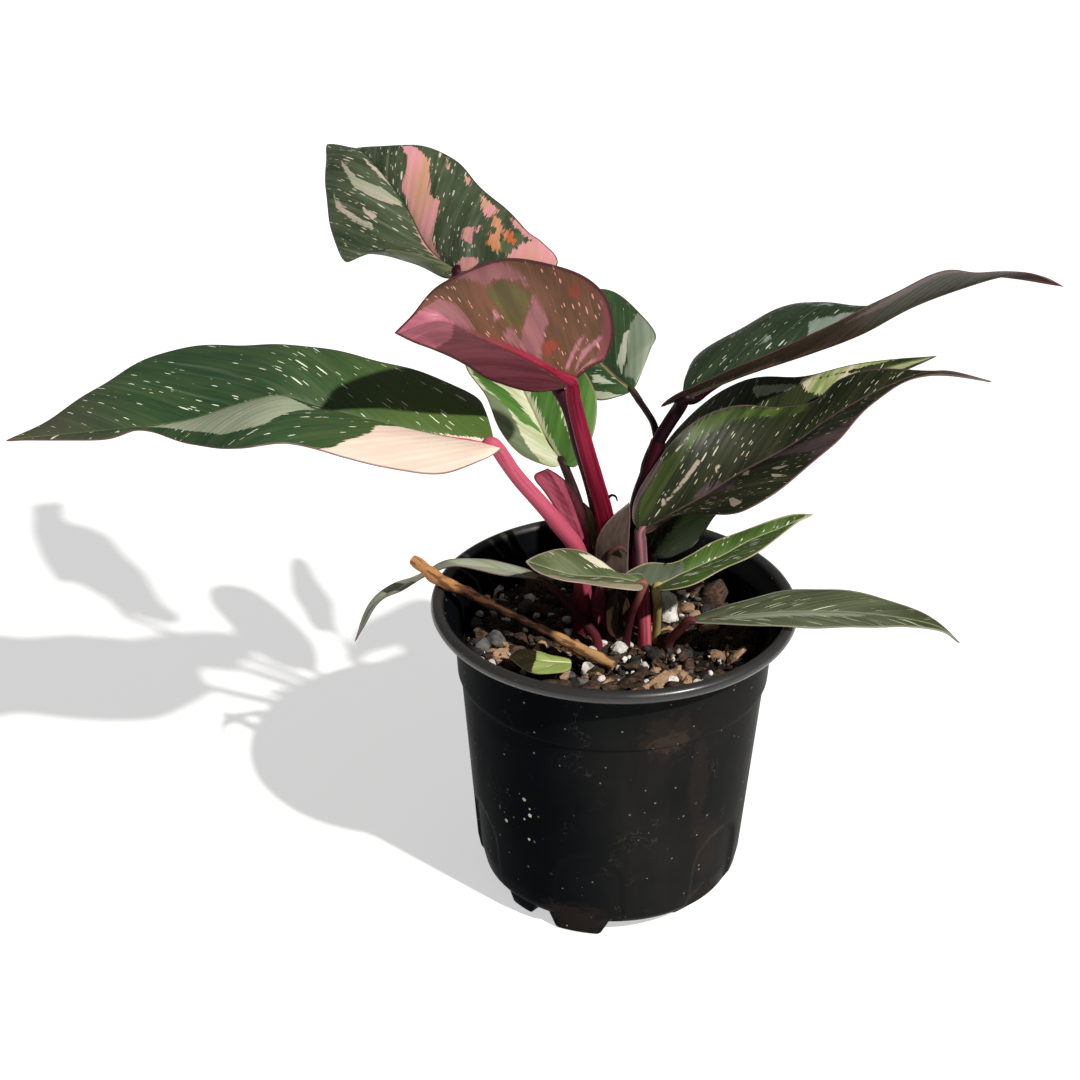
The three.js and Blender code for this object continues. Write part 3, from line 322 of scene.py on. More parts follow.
# A sector's name, its two colours, how ragged its edge is in millimetres, and its flecks: colour and share kept.
UPPER_SECTORS = {
    "top": [("olive", "555f43", "6a7350", 3), ("pale", "9aa088", "bfaa9e", 2.5),
        ("pink", "d8959a", "c9987c", 4, "efd6b8", 0.12), ("orange", "c4683a", "d6946e", 5, "ecc8ae", 0.35)],
    "cupped": [("rose", "a8707a", "b98a8c", 5)],
    "left_long": [("grey", "8d967d", "9ca38a", 2.5, "c9ccb4", 0.25), ("cream", "e6d3c2", "e0c4b4", 4)],
    # back_left's first sector is the grey-green margin strip, darkened with painted shade.
    "back_left": [("dusk", "5d6b50", "72805f", 3), ("green", "3f6228", "56803a", 5),
        ("streak", "b9c08c", "d4d6b2", 4)],
    "back_right": [("white", "d4d8c4", "bfc8ab", 3), ("grey", "84927c", "97a48c", 3)],
    "upper_right": [("grey", "77837a", "8b978a", 3)],
    # middle_right's first sector is painted sunlight; its flecks are the leaf's own.
    "middle_right": [("bright", "2b3919", "4a5b2a", 7, "b4b98a", 0.5),
        ("green", "283317", "37441e", 6, "a5ad80", 0.6), ("mauve", "57464a", "3c3230", 8, "8f7a76", 0.15),
        ("pale", "a89e8c", "988a7c", 0.5)],
    # behind_right's first sector is painted sunlight; its flecks are the leaf's own.
    "behind_right": [("bright", "42602a", "567434", 8, "b9bc92", 0.4), ("cream", "cfc6a6", "7f9450", 7),
        ("grey", "8a9278", "98a088", 3)],
    "low_centre": [("cream", "cfcbb2", "dfdcc6", 3), ("beige", "979073", "858066", 3)],
    "low_right_short": [("grey", "485240", "565f4b", 3, "b4b8a0", 0.4)],
    "low_right_long": [("grey", "7f8672", "8f9481", 4)],
}
LOWER_SECTORS = {
    "cupped": [("lines", "94606a", "a8707a", 1.5), ("mauve", "764c50", "8a5a5c", 4),
        ("olive", "57502e", "4a4026", 5), ("pink", "784044", "683838", 3), ("red", "8a3a2c", "70382a", 4),
        # The last sector is a lighter pink over the tip end, painted sunlight.
        ("rose", "622e38", "7c3e4a", 5), ("blush", "94505f", "b06474", 6)],
    "upper_right": [("olive", "26251a", "34331f", 6, "5a583e", 0.2), ("mauve", "574642", "675550", 5)],
}

# ---------------------------------------------------------------- curves and sheets

CURVE_SAMPLES = 900
FAR_OUTSIDE = -40.0


def unit(vectors):
    return vectors / np.maximum(np.linalg.norm(vectors, axis=-1, keepdims=True), 1e-9)


class Curve:
    """A smooth curve through points, read by the share of its length."""

    def __init__(self, points):
        p = np.array(points, float)
        p = p[np.concatenate([[True], np.linalg.norm(np.diff(p, axis=0), axis=1) > 1e-6])]
        whole = np.vstack([2 * p[0] - p[1], p, 2 * p[-1] - p[-2]])
        t = np.linspace(0, len(p) - 1, CURVE_SAMPLES)
        i = np.minimum(t.astype(int), len(p) - 2)
        w = (t - i)[:, None]
        a, b, c, d = (whole[i + k] for k in range(4))
        start, end = 0.5 * (c - a), 0.5 * (d - b)
        self.points = b + start * w + (3 * (c - b) - 2 * start - end) * w**2 + (2 * (b - c) + start + end) * w**3
        self.run = np.concatenate([[0], np.cumsum(np.linalg.norm(np.diff(self.points, axis=0), axis=1))])
        self.length = self.run[-1]

    def at(self, shares):
        return np.stack([np.interp(shares * self.length, self.run, axis) for axis in self.points.T], -1)


def polygon_field(x, y, outline):
    """How far each place lies inside an outline (above 0) or outside it (below 0)."""
    corners = np.array(outline, float)
    best, inside = np.full(x.shape, 1e9), np.zeros(x.shape, bool)
    for (ax, ay), (bx, by) in zip(corners, np.roll(corners, -1, axis=0)):
        dx, dy = bx - ax, by - ay
        share = np.clip(((x - ax) * dx + (y - ay) * dy) / max(dx * dx + dy * dy, 1e-9), 0, 1)
        best = np.minimum(best, np.hypot(x - ax - share * dx, y - ay - share * dy))
        inside ^= ((ay > y) != (by > y)) & (x < dx * (y - ay) / (dy + 1e-12) + ax)
    return np.where(inside, best, -best)


def leaf_surface(leaf, shares, reaches):
    """The middle surface of a leaf on a grid of ribs, with each place's distance from the midrib."""
    spine = Curve(leaf["midrib"])
    ends = leaf["midrib"][0], leaf["midrib"][-1]
    margins = [Curve([ends[0], *leaf[side], ends[1]]) for side in ("left", "right")]
    roots = spine.at(np.maximum(0, (shares - leaf["lobe"]) / (1 - leaf["lobe"])))[:, None, :]
    places = np.zeros((len(shares), len(reaches), 3))
    width = np.zeros((len(shares), len(reaches)))
    even = np.linspace(0, 1, 25)
    for side, margin in enumerate(margins):
        loop = np.vstack([margin.at(even), spine.at(even)[::-1]])
        area = np.cross(loop, np.roll(loop, -1, axis=0)).sum(0)
        swell = unit(area) * (-1, 1)[side] * leaf["cup"][1 - side]
        edges = margin.at(shares)[:, None, :]
        mine = reaches < 0 if side == 0 else reaches >= 0
        part = np.abs(reaches[mine])[None, :, None]
        size = np.linalg.norm(edges - roots, axis=-1, keepdims=True)
        places[:, mine] = roots + (edges - roots) * part + swell * 4 * part * (1 - part) * size
        width[:, mine] = size[..., 0]
    return places, width, spine.length


def grid_normals(places):
    """Upward normals of a grid of places, where places that fall together share one normal."""
    a, b, c, d = places[:-1, :-1], places[:-1, 1:], places[1:, 1:], places[1:, :-1]
    area = np.cross(b - a, d - a) + np.cross(c - d, c - b)
    total = np.zeros_like(places)
    first, last = slice(0, -1), slice(1, None)
    for rows, columns in ((first, first), (first, last), (last, first), (last, last)):
        total[rows, columns] += area
    group = np.unique(np.round(places.reshape(-1, 3), 3), axis=0, return_inverse=True)[1].reshape(-1)
    sums = np.zeros((group.max() + 1, 3))
    np.add.at(sums, group, total.reshape(-1, 3))
    return unit(sums[group]).reshape(places.shape)


# ---------------------------------------------------------------- making pieces


def new_object(name, work, materials=()):
    mesh = bpy.data.meshes.new(name)
    for material in materials:
        mesh.materials.append(material)
    work.to_mesh(mesh)
    work.free()
    made = bpy.data.objects.new(name, mesh)
    bpy.context.collection.objects.link(made)
    return made


def new_piece(name, work, materials, slot, nodes=(), angle=None):
    """A finished piece from a mesh in millimetres. Places that fall together are joined."""
    bmesh.ops.scale(work, vec=(MM, MM, MM), verts=work.verts[:])
    bmesh.ops.remove_doubles(work, verts=work.verts[:], dist=2e-6)
    bmesh.ops.dissolve_degenerate(work, edges=work.edges[:], dist=1e-7)
    for face in work.faces:
        face.smooth = True
    piece = new_object(name, work, materials)
    if angle is not None:
        piece.data.set_sharp_from_angle(angle=math.radians(angle))
    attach(piece, BODY)
    if nodes:
        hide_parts(*nodes)
    return piece


def places_of(vertices):
    return np.array([vertex.co[:] for vertex in vertices])


def set_field(work, label, values):
    """Gives each vertex its number, or its three numbers, under a name that the materials read."""
    layers = work.verts.layers.float if values.ndim == 1 else work.verts.layers.float_vector
    layer = layers.new(label)
    for vertex, value in zip(work.verts, values.tolist()):
        vertex[layer] = value


def parts_of(work, starts=(0, 0, 0)):
    return [group[start:] for group, start in zip((work.verts, work.edges, work.faces), starts)]


def turned(work, profile, steps):
    """A profile of radius and height turned round the upright axis: an eighth is spun, then doubled thrice."""
    starts = [len(part) for part in parts_of(work)]
    corners = [work.verts.new((radius, 0, height)) for radius, height in profile]
    edges = [work.edges.new(pair) for pair in zip(corners, corners[1:])]
    bmesh.ops.spin(work, geom=corners + edges, cent=HERE, axis=(0, 0, 1), angle=TURN / 8, steps=steps // 8)
    for share in (1 / 8, 1 / 4, 1 / 2):
        copy = bmesh.ops.duplicate(work, geom=sum(parts_of(work, starts), []))["geom"]
        bmesh.ops.rotate(work, verts=[item for item in copy if isinstance(item, bmesh.types.BMVert)],
                         cent=HERE, matrix=Matrix.Rotation(TURN * share, 3, "Z"))


def sealed(work):
    """Joins the seams and poles of a turned shape and points its faces outwards."""
    bmesh.ops.remove_doubles(work, verts=work.verts[:], dist=0.002)
    bmesh.ops.recalc_face_normals(work, faces=work.faces[:])
    return work


# The groove on top of a leaf's midrib, the rib beneath it and the ripples of its margin, in millimetres.
GROOVE_DEPTH, GROOVE_WIDTH = 0.28, 0.9
RIB_RISE, RIB_WIDTH = 1.3, 0.55
RIPPLES = ((5.5, 1.0), (3.1, 0.6))
BESIDE_RIB = 0.02
MARGIN_THINNING = 0.55


def spaced_reaches(count):
    """Places across a leaf, closer together beside the midrib and at the margins."""
    t = np.linspace(0, 1, count + 1)
    half = 0.6 * t + 0.4 * (3 * t**2 - 2 * t**3)
    half[1] = BESIDE_RIB
    return np.concatenate([-half[:0:-1], half])


def sheet_piece(name, leaf, materials, slot, nodes, rows, ridge, columns=22, thickness=0.55, wave=0.35, seed=1):
    """A thin leaf: two faces that meet at the margin, with a groove and a raised rib along its middle."""
    shares = np.linspace(0, 1, rows + 1)
    reaches = spaced_reaches(columns)
    places, width, length = leaf_surface(leaf, shares, reaches)
    part, sign = np.abs(reaches)[None, :], np.sign(reaches)[None, :]
    rib, edge = width * part, width * (1 - part)
    along = (shares * length)[:, None] * np.ones_like(rib)
    turns = np.random.default_rng(seed).uniform(0, 6.28, 6)
    ripple = sum(share * np.sin(along / size + turns[2 * k] + sign * turns[2 * k + 1])
                 for k, (size, share) in enumerate(RIPPLES))
    fade = np.sin(np.pi * shares)[:, None].clip(0) ** 0.5
    middle = places + grid_normals(places) * (wave * ripple * part**3 * fade)[..., None]
    normals = grid_normals(middle)
    taper = np.clip(1.15 - shares, 0.15, 1)[:, None]
    thinning = part**3 * np.ones_like(rib)
    thinning[[0, -1]] = 1
    half = 0.5 * thickness * (1 - MARGIN_THINNING * thinning)
    groove = GROOVE_DEPTH * taper * np.exp(-(rib / GROOVE_WIDTH) ** 2)
    rise = RIB_RISE * ridge * taper * np.exp(-(rib / (RIB_WIDTH * (1 + ridge))) ** 2)
    below, above = (half + rise)[..., None], (half - groove)[..., None]
    surfaces = np.stack([middle - normals * below, middle + normals * above])
    # A flat slab, whose vertices are then set on the two surfaces of the leaf.
    work = bmesh.new()
    bmesh.ops.create_grid(work, x_segments=2 * columns, y_segments=rows, size=0.5)
    bmesh.ops.solidify(work, geom=work.faces[:], thickness=1.0)
    bmesh.ops.recalc_face_normals(work, faces=work.faces[:])
    flat = places_of(work.verts)
    flat[:, 2] -= flat[:, 2].min()
    column, row, side = np.rint((flat + (0.5, 0.5, 0)) * (2 * columns, rows, 1)).astype(int).T
    for face in work.faces:
        face.material_index = int(min(side[vertex.index] for vertex in face.verts) == 0)
    for vertex, place in zip(work.verts, surfaces[side, row, column]):
        vertex.co = place
    set_field(work, "leaf_place", np.stack([along, rib * sign, edge], -1)[row, column])
    # An outline is measured where the leaf has its middling width, so that its edge distance is in millimetres.
    span = float(np.median(width[width > 1]))
    for sector, outlines in leaf.get("sectors", {}).items():
        drawn = [[(share / 100 * length, reach / 100 * span) for share, reach in outline] for outline in outlines]
        fields = [polygon_field(along, part * sign * span, outline) for outline in drawn]
        set_field(work, sector, np.maximum(FAR_OUTSIDE, np.max(fields, axis=0))[row, column])
    return new_piece(name, work, materials, slot, nodes)


def add_tube(work, layer, route, radii, start=0.0, sides=20, rings=60, lump=0.0, seed=3, flute=0.0):
    """Adds a tube that follows a route: a cylinder cut into rings, whose vertices are then set along the route."""
    curve = Curve(route)
    shares = np.linspace(0, 1, rings + 1)
    middles = curve.at(shares)
    tangents = unit(np.gradient(middles, axis=0))
    side = np.array([1.0, 0.0, 0.0]) if abs(tangents[0][0]) < 0.8 else np.array([0.0, 1.0, 0.0])
    across = []
    for tangent in tangents:
        side = unit(side - tangent * side.dot(tangent))
        across.append(side)
    across = np.array(across)
    turns = np.random.default_rng(seed).uniform(0, 6.28, (4, 2))[:, 0]
    before = len(work.verts)
    made = bmesh.ops.create_cone(work, cap_ends=True, segments=sides, radius1=1, radius2=1, depth=1)["verts"]
    touching = dict.fromkeys(edge for vertex in made for edge in vertex.link_edges)
    upright = [edge for edge in touching if abs(edge.verts[0].co.z - edge.verts[1].co.z) > 0.5]
    bmesh.ops.subdivide_edges(work, edges=upright, cuts=rings - 1, use_grid_fill=True)
    work.verts.ensure_lookup_table()
    mine = work.verts[before:]
    flat = places_of(mine)
    ring = np.rint((flat[:, 2] + 0.5) * rings).astype(int)
    angle = np.arctan2(flat[:, 1], flat[:, 0])
    run = shares[ring] * curve.length
    radius = np.interp(shares, np.linspace(0, 1, len(radii)), radii)[ring]
    radius *= 1 + flute * np.cos(5 * angle + turns[0])
    radius += lump * (np.sin(run * 0.9 + 2 * angle + turns[1]) + np.sin(run * 0.37 + angle + turns[2]))
    x, y = radius * np.cos(angle), radius * np.sin(angle)
    places = middles[ring] + across[ring] * x[:, None] + np.cross(tangents, across)[ring] * y[:, None]
    for vertex, place, skin in zip(mine, places, np.stack([x, y, run + start], -1).tolist()):
        vertex.co = place
        vertex[layer] = skin


# How far a stalk runs on as a rib under its blade, and where the colours of a stalk in a sheath start.
RIB_REACH = 16.0
SHEATH_LENGTH = 90.0


def stalk_parts(leaf):
    """A leaf's stalk: its route up to the blade, the rib it becomes under the blade, and any sheath round it."""
    length = Curve(leaf["midrib"]).length
    shares = leaf["lobe"] + (1 - leaf["lobe"]) * np.array([0.2, 0.55, 1.0]) * RIB_REACH / length
    places, _, _ = leaf_surface(leaf, shares, np.array([-0.04, 0.0, 0.04]))
    normals = grid_normals(places)
    radius = leaf["radii"][-1]
    under = [places[k, 1] - normals[k, 1] * (0.25 + radius * share) for k, share in enumerate((0.6, 0.2, 0.0))]
    route = [leaf["route"][-1], leaf["midrib"][0], *under]
    before = np.linalg.norm(np.subtract(route[1], route[0]))
    whole = Curve(route).length
    # A stalk that stands in a sheath takes its colours from above the sheath's.
    start = SHEATH_LENGTH if "sheath" in leaf else 0.0
    radii = np.interp(np.linspace(0, 1, 30), np.linspace(0, 1, len(leaf["radii"])), leaf["radii"])
    radii[-1] *= 0.5
    fading = np.clip((whole - np.linspace(0, whole, 9)) / (whole - before), 0, 1)
    parts = [(leaf["route"] + [leaf["midrib"][0]], radii, start),
             (route, np.maximum(0.3, radius * fading ** 0.8), start + Curve(leaf["route"]).length)]
    return parts + ([(leaf["sheath"], leaf["sheath_radii"], 0.0)] if "sheath" in leaf else [])


def stalk_piece(name, parts, material, slot, nodes, **shape):
    """One stalk, or several tubes grown together as one stalk."""
    work = bmesh.new()
    layer = work.verts.layers.float_vector.new("stalk_place")
    for route, radii, start in parts:
        add_tube(work, layer, route, radii, start, **shape)
    return new_piece(name, work, [material], slot, nodes, angle=50)


# ---------------------------------------------------------------- materials


def tint(code):
    """A linear colour from a hex code."""
    values = [int(code[k:k + 2], 16) / 255 for k in (0, 2, 4)]
    return (*(v / 12.92 if v <= 0.04045 else ((v + 0.055) / 1.055) ** 2.4 for v in values), 1.0)


class Signal:
    """What a node gives out. Sums written with it become Math nodes."""

    def __init__(self, paint, socket):
        self.paint, self.socket = paint, socket

    def __add__(self, other):
        return self.paint.math("ADD", self, other)

    def __sub__(self, other):
        return self.paint.math("SUBTRACT", self, other)

    def __mul__(self, other):
        return self.paint.math("MULTIPLY", self, other)

    def __abs__(self):
        return self.paint.math("ABSOLUTE", self, 0.0)

    def step(self, low, high, start=0.0, end=1.0):
        """A smooth step from a start to an end, as the signal goes from low to high."""
        spans = {"From Min": low, "From Max": high, "To Min": start, "To Max": end, "Value": self}
        return self.paint.node("MapRange", spans, interpolation_type="SMOOTHSTEP")


class Paint:
    """Builds one procedural material, node by node. Its colour is laid on coat by coat."""

    def __init__(self, name, roughness, specular=0.5):
        self.material = bpy.data.materials.new(name)
        self.material.use_nodes = True
        self.tree = self.material.node_tree
        self.sockets = self.tree.nodes["Principled BSDF"].inputs
        self.sockets["Roughness"].default_value = roughness
        self.sockets["Specular IOR Level"].default_value = specular
        self.color = None

    def put(self, socket, value):
        if isinstance(value, Signal):
            self.tree.links.new(value.socket, socket)
        else:
            socket.default_value = tint(value) if isinstance(value, str) else value

    def node(self, kind, inputs=None, output=0, **settings):
        made = self.tree.nodes.new("ShaderNode" + kind)
        for key, value in settings.items():
            setattr(made, key, value)
        for label, value in (inputs or {}).items():
            self.put(made.inputs[label], value)
        return Signal(self, made.outputs[output])

    def math(self, operation, a, b):
        return self.node("Math", {0: a, 1: b}, operation=operation)

    def place(self):
        return self.node("TexCoord", output="Object")

    def field(self, label, output="Vector"):
        return self.node("Attribute", output=output, attribute_name=label)

    def parts(self, vector):
        first = self.node("SeparateXYZ", {0: vector})
        return [Signal(self, socket) for socket in first.socket.node.outputs]

    def join(self, x, y):
        return self.node("CombineXYZ", {0: x, 1: y})

    def stretched(self, vector, scale, shift=HERE):
        return self.node("Mapping", {"Scale": scale, "Location": shift, "Vector": vector})

    def noise(self, place, scale=1.0, detail=3.0, rough=0.55, stretch=None, shift=HERE):
        vector = self.stretched(place, stretch, shift) if stretch else place
        return self.node("TexNoise", {"Vector": vector, "Scale": scale, "Detail": detail, "Roughness": rough})

    def cells(self, vector, scale=1.0):
        """The distance to the nearest cell's middle, and that cell's own random number."""
        distance = self.node("TexVoronoi", {"Scale": scale, "Vector": vector}, "Distance")
        return distance, self.parts(Signal(self, distance.socket.node.outputs["Color"]))[0]

    def mix(self, share, under, over):
        return self.node("Mix", {0: share, 6: under, 7: over}, 2, data_type="RGBA")

    def coat(self, share, over):
        """Lays a colour over what is painted so far."""
        self.color = self.mix(share, self.color, over)

    def finish(self, height, strength, distance, roughness=None):
        self.put(self.sockets["Base Color"], self.color)
        if roughness:
            self.put(self.sockets["Roughness"], roughness)
        bump = {"Strength": strength, "Distance": distance, "Height": height}
        self.put(self.sockets["Normal"], self.node("Bump", bump))
        return self.material


def dashes(paint, grain, along_size, out_size, keep, width, shift):
    """Short streaks along the side veins: one to a cell, in the share of cells that is kept."""
    sized = paint.stretched(grain, (1 / along_size, 1 / out_size, 0), (shift, shift * 0.7, 0))
    distance, draw = paint.cells(sized)
    reach = distance + (paint.noise(grain, 1.0, 2.0, stretch=(2.2, 0.5, 0)) - 0.5) * 0.14
    size = draw.step(1 - keep, 1.0, 0.3 * width, width)
    return (size - reach).step(0.0, 0.03) * draw.step(1 - keep - 0.001, 1 - keep)


def leaf_material(name, dark, light, flecks="cfd2b4", fleck_keep=0.3, fine_keep=0.4, fleck_width=0.2, sectors=(),
                  margin=None, midrib=None, midrib_width=0.5, seed=1.0, roughness=0.42, density=(0.3, 0.52),
                  grey=None, wisps=0.3, veins=0.012, sweep=1.2, base=None, tip=None, gloss=0.28, midrib_end=None,
                  margin_width=0.75, lengthwise=False, fleck_shape=(1.4, 4.0, 2.4, 6.5), soft=0.12, streaks=0.42):
    """One side of a leaf: a streaked ground, coloured sectors, flecks, side veins, midrib and margin."""
    paint = Paint(name, roughness, gloss)
    along, out, edge = paint.parts(paint.field("leaf_place"))
    rib = abs(out)
    # Side veins sweep towards the tip, so streaks follow the place along minus a share of the distance out.
    lean = along - rib * sweep
    grain = paint.join(out, along) if lengthwise else paint.join(lean, out)

    def noise(detail, rough, stretch, *shift):
        return paint.noise(grain, 1.0, detail, rough, (*stretch, 0), (*shift, 0))

    streak = noise(4.0, 0.65, (0.9, 0.07), seed, 0)
    tone = streak * streaks + noise(3.0, 0.6, (0.1, 0.05), 0, seed) * (1 - streaks)
    paint.color = paint.mix(tone.step(0.36, 0.64), dark, light)
    if base:
        paint.coat(along.step(base[1], base[1] * 0.3, 0.0, 0.85), base[0])
    if grey:
        paint.coat(noise(2.0, 0.55, (0.3, 0.03), seed * 2, 3).step(0.56, 0.74, 0.0, 0.6), grey)
    if tip:
        paint.coat(along.step(tip[1], tip[1] * 1.3, 0.0, 0.85), tip[0])
    paint.coat(noise(3.0, 0.6, (1.5, 0.07), seed * 4, 5).step(0.58, 0.74, 0.0, wisps), grey or flecks)
    fine = dashes(paint, grain, *fleck_shape[:2], fine_keep, fleck_width, seed + 3.1)
    large = dashes(paint, grain, *fleck_shape[2:], fleck_keep, fleck_width, seed + 8.7)
    spread = noise(1.0, 0.55, (0.11, 0.08), seed * 3, 1)
    paint.coat(paint.math("MAXIMUM", fine, large) * spread.step(*density), flecks)
    ragged = noise(4.0, 0.65, (0.9, 0.12), seed * 5, 0) - 0.5
    blotch = noise(4.0, 0.6, (0.14, 0.05), seed * 7, 2).step(0.36, 0.64)
    for sector, first, second, rag, *own_flecks in sectors:
        patch = paint.mix(blotch, first, second)
        if own_flecks:
            kept = dashes(paint, grain, *fleck_shape[2:], own_flecks[1], fleck_width, seed + 1.3)
            patch = paint.mix(kept, patch, own_flecks[0])
        paint.coat((paint.field(sector, "Fac") + ragged * rag).step(-soft, soft), patch)
    vein_wave = paint.math("SINE", lean * 1.55 + streak * 2.0, 0.0)
    paint.coat(vein_wave.step(0.82, 1.0, 0.0, veins), "e6e4cf")
    if midrib:
        line = rib.step(midrib_width, midrib_width * 0.45, 0.0, 0.9)
        paint.coat(line * along.step(midrib_end, midrib_end * 0.55) if midrib_end else line, midrib)
    if margin:
        paint.coat(edge.step(margin_width, margin_width * 0.4, 0.0, 0.85), margin)
    return paint.finish(vein_wave * 0.35 + streak * 0.8, 0.35, 0.00022,
                        streak.step(0.3, 0.7, roughness - 0.05, roughness + 0.08))


def stalk_material(name, low, middle, high, stops=(0.0, 40.0, 40.0, 80.0), streak="2a0c12", streak_share=0.5,
                   roughness=0.42, pale=None, spots=None):
    """A fleshy stalk: its colour changes on the way up, with fine lines along it."""
    paint = Paint(name, roughness, 0.08)
    place = paint.field("stalk_place")
    run = paint.parts(place)[2]
    paint.color = paint.mix(run.step(*stops[:2]), low, middle)
    paint.coat(run.step(*stops[2:]), high)
    lines = paint.noise(place, 1.6, 3.0, 0.6, (0.9, 0.9, 0.02))
    paint.coat(lines.step(0.5, 0.72, 0.0, streak_share), streak)
    # Pale lines along the stalk are painted highlights.
    if pale:
        painted_highlight_lines = paint.noise(place, 1.0, 2.0, 0.55, (0.9, 0.9, 0.012), (4, 7, 0))
        paint.coat(painted_highlight_lines.step(0.52, 0.66, 0.0, 0.6), pale)
    if spots:
        paint.coat(paint.noise(place, stretch=(0.5, 0.5, 0.12)).step(0.5, 0.6, 0.0, 0.8), spots)
    return paint.finish(paint.noise(place, 1.0, 2.0, 0.55, (3, 3, 0.08)), 0.3, 0.0002,
                        lines.step(0.3, 0.7, roughness - 0.06, roughness + 0.1))


# ---------------------------------------------------------------- the pot

# Radius and height, in millimetres, from the middle of the floor up the outside and down the inside.
OUTER = [(0, 8), (30, 8), (38.3, 8), (39.6, 5.7), (40.4, 5.2), (42, 5.2), (42.8, 5.7), (44.3, 8), (45.2, 13),
    (50.35, 77.9), (50.45, 78.4), (51.1, 78.8), (51.45, 79.5), (52.55, 97.2), (52.9, 98.6), (54.4, 100.1),
    (56, 100.7), (58.2, 100.8), (59.4, 101.4), (60, 102.6), (59.9, 103.6), (59.3, 104.5), (58.2, 105)]
INNER = [(57, 104.9), (56.1, 104.1), (55.5, 103), (51.3, 98.4), (51, 97.6), (49.9, 79.8), (48.8, 78),
    (43.4, 18), (41.4, 15), (41, 10.2), (38, 10), (0, 10)]
PAD = [(0, 0), (11, 0), (11.8, 0.5), (12, 1.2), (12, 8.4), (11.4, 9), (0, 9)]
SEGMENTS = 288
PAD_SEGMENTS = 64
FLOOR_TOP = 10
DRAIN_RADIUS = 3
DRAIN_REACH = 27
# The arches' directions in degrees from the front, their half width, the height where their round heads start,
# how deep they are and how wide their sloped edge is.
ARCHES = (-130, -70, -10, 50, 110, 170)
ARCH_HALF, ARCH_SPRING, ARCH_DEPTH, ARCH_EDGE = 12, 23, 0.95, 1.6
# Each foot's direction, half width and outer radius. The wall is notched over each foot but the narrow one.
FEET = ((-105, 12, 40), (-46, 7, 41), (-15, 12, 43), (45, 12, 37.5), (105, 12, 40), (165, 12, 40))
NARROW_FOOT = 8
NOTCH_TOP, NOTCH_SLOPE, NOTCH_RADIUS, NOTCH_EDGE = 13.3, 8.3 / 12.5, 42.8, 1.2
FOOT_INSIDE, FOOT_HEIGHT, FOOT_SHOULDER, FOOT_DEPTH = 30, 9.0, 5.0, 12.8
# The outside of the wall under its collar, where arches and notches are pressed in.
PRESSED_LOW, PRESSED_HIGH, PRESSED_INSIDE = 6, 78, 42


def smooth_step(value, high):
    t = min(max(value / high, 0), 1)
    return t * t * (3 - 2 * t)


def divided(profile, step):
    """A profile with points added so that none lie further apart than the step."""
    out = [profile[0]]
    for (r0, z0), (r1, z1) in zip(profile, profile[1:]):
        count = max(1, int(math.hypot(r1 - r0, z1 - z0) / step))
        out += [(r0 + (r1 - r0) * k / count, z0 + (z1 - z0) * k / count) for k in range(1, count + 1)]
    return out


def heading(degrees):
    """The angle, in radians, of a direction given in degrees from the front towards +X."""
    return math.radians(degrees - 90)


def pot_wall(material):
    work = bmesh.new()
    turned(work, divided(OUTER, 1.4), SEGMENTS)
    for vertex in work.verts:
        x, y, height = vertex.co
        radius, angle = math.hypot(x, y), math.atan2(y, x)
        if not (PRESSED_LOW < height < PRESSED_HIGH and radius > PRESSED_INSIDE):
            continue

        def away(degrees):
            return abs((angle - heading(degrees) + math.pi) % TURN - math.pi) * radius

        sunk = radius
        for arch in ARCHES:
            inset = ARCH_HALF - math.hypot(away(arch), max(0.0, height - ARCH_SPRING))
            sunk -= ARCH_DEPTH * smooth_step(inset, ARCH_EDGE)
        for foot, half, _ in FEET:
            if half > NARROW_FOOT and height < NOTCH_TOP:
                top = NOTCH_TOP - NOTCH_SLOPE * away(foot)
                sunk = min(sunk, sunk + (NOTCH_RADIUS - sunk) * smooth_step(top - height, NOTCH_EDGE))
        vertex.co = (x * sunk / radius, y * sunk / radius, height)
    turned(work, divided([OUTER[-1], *INNER], 2.5), SEGMENTS)
    piece = new_piece("nursery_pot", sealed(work), [material], "pot_plastic", ["pot"], angle=38)

    # Six drain holes through the floor, one behind each arch.
    drills = bmesh.new()
    for arch in ARCHES:
        place = Matrix.Rotation(heading(arch), 4, "Z") @ Matrix.Translation((DRAIN_REACH, 0, FLOOR_TOP))
        bmesh.ops.create_cone(drills, cap_ends=True, segments=32, radius1=DRAIN_RADIUS, radius2=DRAIN_RADIUS,
                              depth=2 * FLOOR_TOP, matrix=Matrix.Scale(MM, 4) @ place)
    drill = new_object("drills", drills)
    piece.modifiers.new("drain_holes", "BOOLEAN").object = drill
    whole = piece.data
    piece.data = bpy.data.meshes.new_from_object(piece.evaluated_get(bpy.context.evaluated_depsgraph_get()))
    piece.modifiers.clear()
    bpy.data.objects.remove(drill)
    bpy.data.meshes.remove(whole)


